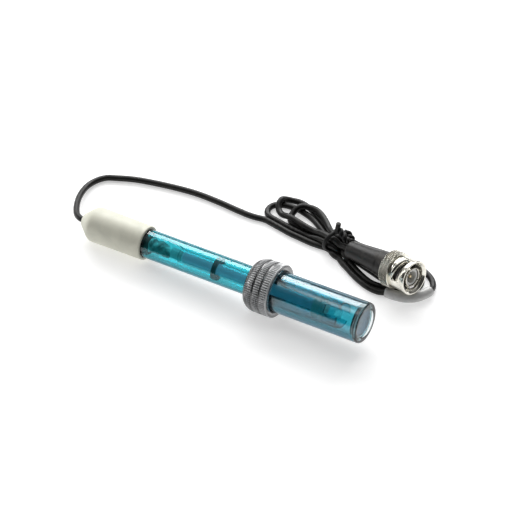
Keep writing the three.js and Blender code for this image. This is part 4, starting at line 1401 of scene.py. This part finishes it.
    def settle(self, line: np.ndarray) -> np.ndarray:
        """Lets the strands sink, lie beside and on each other and keep clear of the plug.

        In each round a point moves by the sum of: a share of what it overlaps each point of another
        strand; a share of the way to the middle of its neighbours, which is larger where the bend is
        tighter than ``least_bend``; a share of how much its bend differs from its neighbours' bends,
        as a springy wire evens them out; a share of the way back to where it was laid, in plan; and
        a small step down, to the floor.

        Args:
            line: The laid strands, in metres.

        Returns:
            The settled strands.
        """
        laid = line / MM
        now = laid.copy()
        number = np.arange(len(laid))
        far = np.abs(number[:, None] - number[None]) * self.step > self.neighbours
        sleeve = self.in_sleeve(line)
        size = np.full(len(laid), self.radius + 0.02)
        size[sleeve] = self.sleeve_radius + 0.03
        free = self.freedom(laid, sleeve)[:, None]
        slack = self.step**2 / (2 * self.least_bend)
        reach = size[:, None] + size[None]
        for _ in range(self.rounds):
            gap = now[:, None] - now[None]
            distance = np.linalg.norm(gap, axis=2) + 1e-6
            push = np.where(far & (distance < reach), (reach - distance) / distance, 0.0)
            move = self.push_share * np.clip((push[..., None] * gap).sum(axis=1), -0.5, 0.5)
            bend = 0.5 * (now[:-2] + now[2:]) - now[1:-1]
            over = 1 - slack / np.maximum(np.linalg.norm(bend, axis=1, keepdims=True), slack)
            move[1:-1] += (self.smooth_share + self.unbend_share * over) * bend
            move[2:-2] -= self.even_share * (bend[:-2] - 2 * bend[1:-1] + bend[2:])
            move[:, :2] += self.return_share * (laid - now)[:, :2]
            move[:, 2] -= self.sink
            move += self.off_plug(now)
            now = now + free * move
            now[:, 2] = np.maximum(now[:, 2], size)
        return now * MM

    def off_plug(self, points: np.ndarray) -> np.ndarray:
        """How far points move to leave the plug, treated as a cone with a wide front.

        Args:
            points: The points, in millimetres in the frame.

        Returns:
            Half of the way out for each point that is inside, and nothing for the others.
        """
        place, plug = self.plug.place, self.plug
        offset = points - place.origin / MM
        along = offset @ place.axis
        radial = offset - along[:, None] * place.axis
        away = np.linalg.norm(radial, axis=1) + 1e-6
        stations = [0.0, plug.boot_end - 2, plug.nut_back, plug.neck_end, plug.length]
        sizes = [plug.boot_tail, plug.boot_front, plug.knurl_radius, plug.nut_radius, plug.nut_radius]
        room = np.interp(along, stations, sizes) + self.radius
        inside = (along > -0.5) & (along < plug.length + 0.5) & (away < room)
        return np.where(inside, (room - away) / away, 0.0)[:, None] * radial * 0.5

    def sleeve(self, line: np.ndarray) -> bpy.types.Object:
        """The white shrink sleeve: a tube carried along the cord, a little narrower at both ends.

        Args:
            line: The cord's centre line, in metres.

        Returns:
            The piece.
        """
        run = line[self.in_sleeve(line)]
        place = np.linspace(0, 1, len(run))
        swell = 1 - 0.05 * np.exp(-place * 24) - 0.05 * np.exp(-(1 - place) * 24)
        bore = (self.sleeve_radius - self.sleeve_wall) / self.sleeve_radius
        finish = Moulded("shrink_sleeve", (0.62, 0.62, 0.61), (0.52, 0.52, 0.515), 0.3, 0.000008, 0.0005,
                         coat=0.2)
        tube = carried(run, self.sleeve_radius * MM * swell, 36, bore)
        made = piece("lead_sleeve", [tube], finish.material())
        return self.stand_in(made, Bodies.ELECTRODE, "white_sleeve", "cord_sleeve")

    def at_tie(self, points: Sequence[Sequence[float]]) -> np.ndarray:
        """Takes points about the tie to the frame.

        Args:
            points: (along the bundle, across it, height) for each point, in millimetres.

        Returns:
            The points in the frame, in metres.
        """
        turn = np.radians(self.tie_direction)
        local = np.array(points, float)
        middle = np.array(self.tie_place) * [1, 1, 0]
        x = middle[0] + local[:, 0] * np.cos(turn) - local[:, 1] * np.sin(turn)
        y = middle[1] + local[:, 0] * np.sin(turn) + local[:, 1] * np.cos(turn)
        return self.in_frame(np.stack([x, y, local[:, 2]], axis=1))

    def tie(self) -> bpy.types.Object:
        """The wire tie: a loop round the bundle, its ends twisted together and curled, one end up.

        The loop is an ellipse; each twisted end is a helix about the curled middle line.
        """
        middle = self.tie_place[2] - 0.35
        tall = middle - self.tie_wire
        angle = np.linspace(0, TURN, 73)[:-1]
        loop = np.stack([
            0.5 * np.sin(angle), self.tie_half_width * np.cos(angle), middle + tall * np.sin(angle)], axis=1)
        top = middle + tall
        curl, stub = (spline(np.array(run) + [0, 0, top], 14) for run in (self.tie_curl, self.tie_stub))
        share = np.linspace(0, 1, len(curl))
        nets = [self.loop_net(self.at_tie(loop))]
        for phase in (0.0, np.pi):
            swing = phase + share * TURN * self.twists
            off = self.twist_radius * np.stack([0.35 * np.sin(swing), np.cos(swing), np.sin(swing)], axis=1)
            nets.append(carried(self.at_tie(curl + off), self.tie_wire * MM * self.eased(share), 16))
        share = np.linspace(0, 1, len(stub))
        nets.append(carried(self.at_tie(stub), self.stub_share * self.tie_wire * MM * self.eased(share), 16))
        finish = Jacket("tie_cover", (0.011, 0.011, 0.011), (0.035, 0.033, 0.03), 0.4).material()
        made = piece("lead_tie", nets, finish)
        return self.stand_in(made, Bodies.ELECTRODE, "black_rubber", "cord_tie")

    def eased(self, share: np.ndarray) -> np.ndarray:
        """A radius share that is 1 along a wire and rounds off at its ends: sqrt(1 - x^2) there."""
        close = np.clip(1 - np.minimum(share, 1 - share) / 0.06, 0, 0.97)
        return np.sqrt(1 - close**2)

    def loop_net(self, ring: np.ndarray) -> Net:
        """A round section carried round a closed, flat loop.

        Its first side points away from the loop's middle, with the tangent's share taken out.

        Args:
            ring: The loop's points, in metres.

        Returns:
            The closed net.
        """
        middle = ring.mean(axis=0)
        tangent = np.roll(ring, -1, axis=0) - np.roll(ring, 1, axis=0)
        tangent /= np.linalg.norm(tangent, axis=1, keepdims=True)
        out = ring - middle
        out -= (out * tangent).sum(axis=1, keepdims=True) * tangent
        out /= np.linalg.norm(out, axis=1, keepdims=True)
        side = np.cross(tangent, out)
        angle = np.arange(16) / 16 * TURN
        section = out[:, None] * np.cos(angle)[:, None] + side[:, None] * np.sin(angle)[:, None]
        return Net(ring[:, None] + self.tie_wire * MM * section, close_rows=True)


# ------------------------------------------------------------------------------ studio


@dataclass(frozen=True)
class Softbox:
    """One flat lamp, aimed at the object."""

    name: str
    spot: tuple[float, float, float]
    size: tuple[float, float]
    power: float

    def build(self, target: Vector) -> None:
        """Hangs the lamp.

        Args:
            target: The point that it faces, in metres.
        """
        light = bpy.data.lights.new(self.name, "AREA")
        light.shape = "RECTANGLE"
        light.size, light.size_y = self.size
        light.energy = self.power
        lamp = bpy.data.objects.new(self.name, light)
        lamp.location = self.spot
        lamp.rotation_euler = (target - Vector(self.spot)).to_track_quat("-Z", "Y").to_euler()
        bpy.context.scene.collection.objects.link(lamp)


@dataclass
class Studio:
    """A pale floor, soft lamps, a room that is brighter behind the object, and the camera."""

    target: tuple[float, float, float] = (0.00127, 0.02442, 0.0)
    azimuth: float = 31.4
    elevation: float = 41.3
    distance: float = 1.0
    lens: float = 172.66
    floor_size: float = 6.0
    floor_colour: Colour = (0.72, 0.72, 0.72)
    floor_glow: float = 0.5
    bounces: int = 28
    room: Sequence[tuple[float, float]] = ((0.35, 0.04), (1.0, 0.6))
    lamps: Sequence[Softbox] = (
        Softbox("back_panel", (-0.42, 0.69, 0.62), (1.3, 0.55), 13.5),
        Softbox("top_strip", (-0.1, 0.12, 1.0), (0.9, 0.3), 1.6),
        Softbox("left_strip", (-0.9, -0.25, 0.4), (0.15, 0.8), 1.4),
    )

    def build(self) -> None:
        """Sets the stage and the camera."""
        scene = bpy.context.scene
        scene.view_settings.view_transform = "Standard"
        scene.cycles.max_bounces = scene.cycles.transmission_bounces = self.bounces
        self.floor()
        target = Vector(self.target)
        for lamp in self.lamps:
            lamp.build(target)
        self.surroundings()
        self.camera(target)

    def surroundings(self) -> None:
        """The room: bright above and behind the object and dim in front.

        A direction's brightness is a ramp of how far it points the way of a slope that faces up and
        back, which is the dot product of the two.
        """
        world = bpy.data.worlds.new("studio")
        tree = Tree(world, "ShaderNodeOutputWorld")
        azimuth = np.radians(self.azimuth)
        slope = (-0.6 * np.sin(azimuth), 0.6 * np.cos(azimuth), 0.8)
        spot = tree.node("ShaderNodeTexCoord", output="Generated")
        face = tree.node("ShaderNodeVectorMath", {"operation": "DOT_PRODUCT"}, {0: spot, 1: slope}, "Value")
        stops = [(place, (level, level, level)) for place, level in self.room]
        ramp = tree.node("ShaderNodeValToRGB", {"stops": stops}, {"Fac": face}, "Color")
        tree.end("Surface", tree.node("ShaderNodeBackground", None, {"Color": ramp, "Strength": 1.0}))
        bpy.context.scene.world = world

    def floor(self) -> None:
        """The floor: a square sheet, with a faint unevenness in its sheen."""
        half = self.floor_size / 2
        mesh = bpy.data.meshes.new("floor")
        corners = [(-half, -half, 0), (half, -half, 0), (half, half, 0), (-half, half, 0)]
        mesh.from_pydata(corners, [], [(0, 1, 2, 3)])
        paint = Paint("floor_card")
        cloud = paint.noise(paint.place(), 3, 2)
        paint.surface(
            Base_Color=rgba(self.floor_colour), Roughness=0.7 + 0.1 * cloud, Specular_IOR_Level=0.2,
            Emission_Color=rgba((1.0, 1.0, 1.0)), Emission_Strength=self.floor_glow,
        )
        mesh.materials.append(paint.material)
        floor = bpy.data.objects.new("floor", mesh)
        bpy.context.scene.collection.objects.link(floor)

    def camera(self, target: Vector) -> None:
        """A long lens that looks down at the object from its right front.

        Args:
            target: The point in the middle of the picture, in metres.
        """
        azimuth, elevation = np.radians(self.azimuth), np.radians(self.elevation)
        level = Vector((-np.sin(azimuth), np.cos(azimuth), 0))
        forward = level * np.cos(elevation) + Vector((0, 0, -np.sin(elevation)))
        data = bpy.data.cameras.new("camera")
        data.lens = self.lens
        data.clip_end = 20
        camera = bpy.data.objects.new("camera", data)
        camera.location = target - forward * self.distance
        camera.rotation_euler = forward.to_track_quat("-Z", "Y").to_euler()
        bpy.context.scene.collection.objects.link(camera)
        bpy.context.scene.camera = camera


def main() -> None:
    """Builds the studio and each sub-assembly in turn."""
    logging.basicConfig(level=logging.INFO, format="%(name)s: %(message)s", stream=sys.stdout)
    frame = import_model()
    Studio().build()
    electrode, plug = Electrode(frame), Plug(frame)
    far_pieces = plug.build()
    Lead(frame, electrode, plug).build(far_pieces)
    electrode.build()
    StorageBottle(frame).build()


if __name__ == "__main__":
    main()
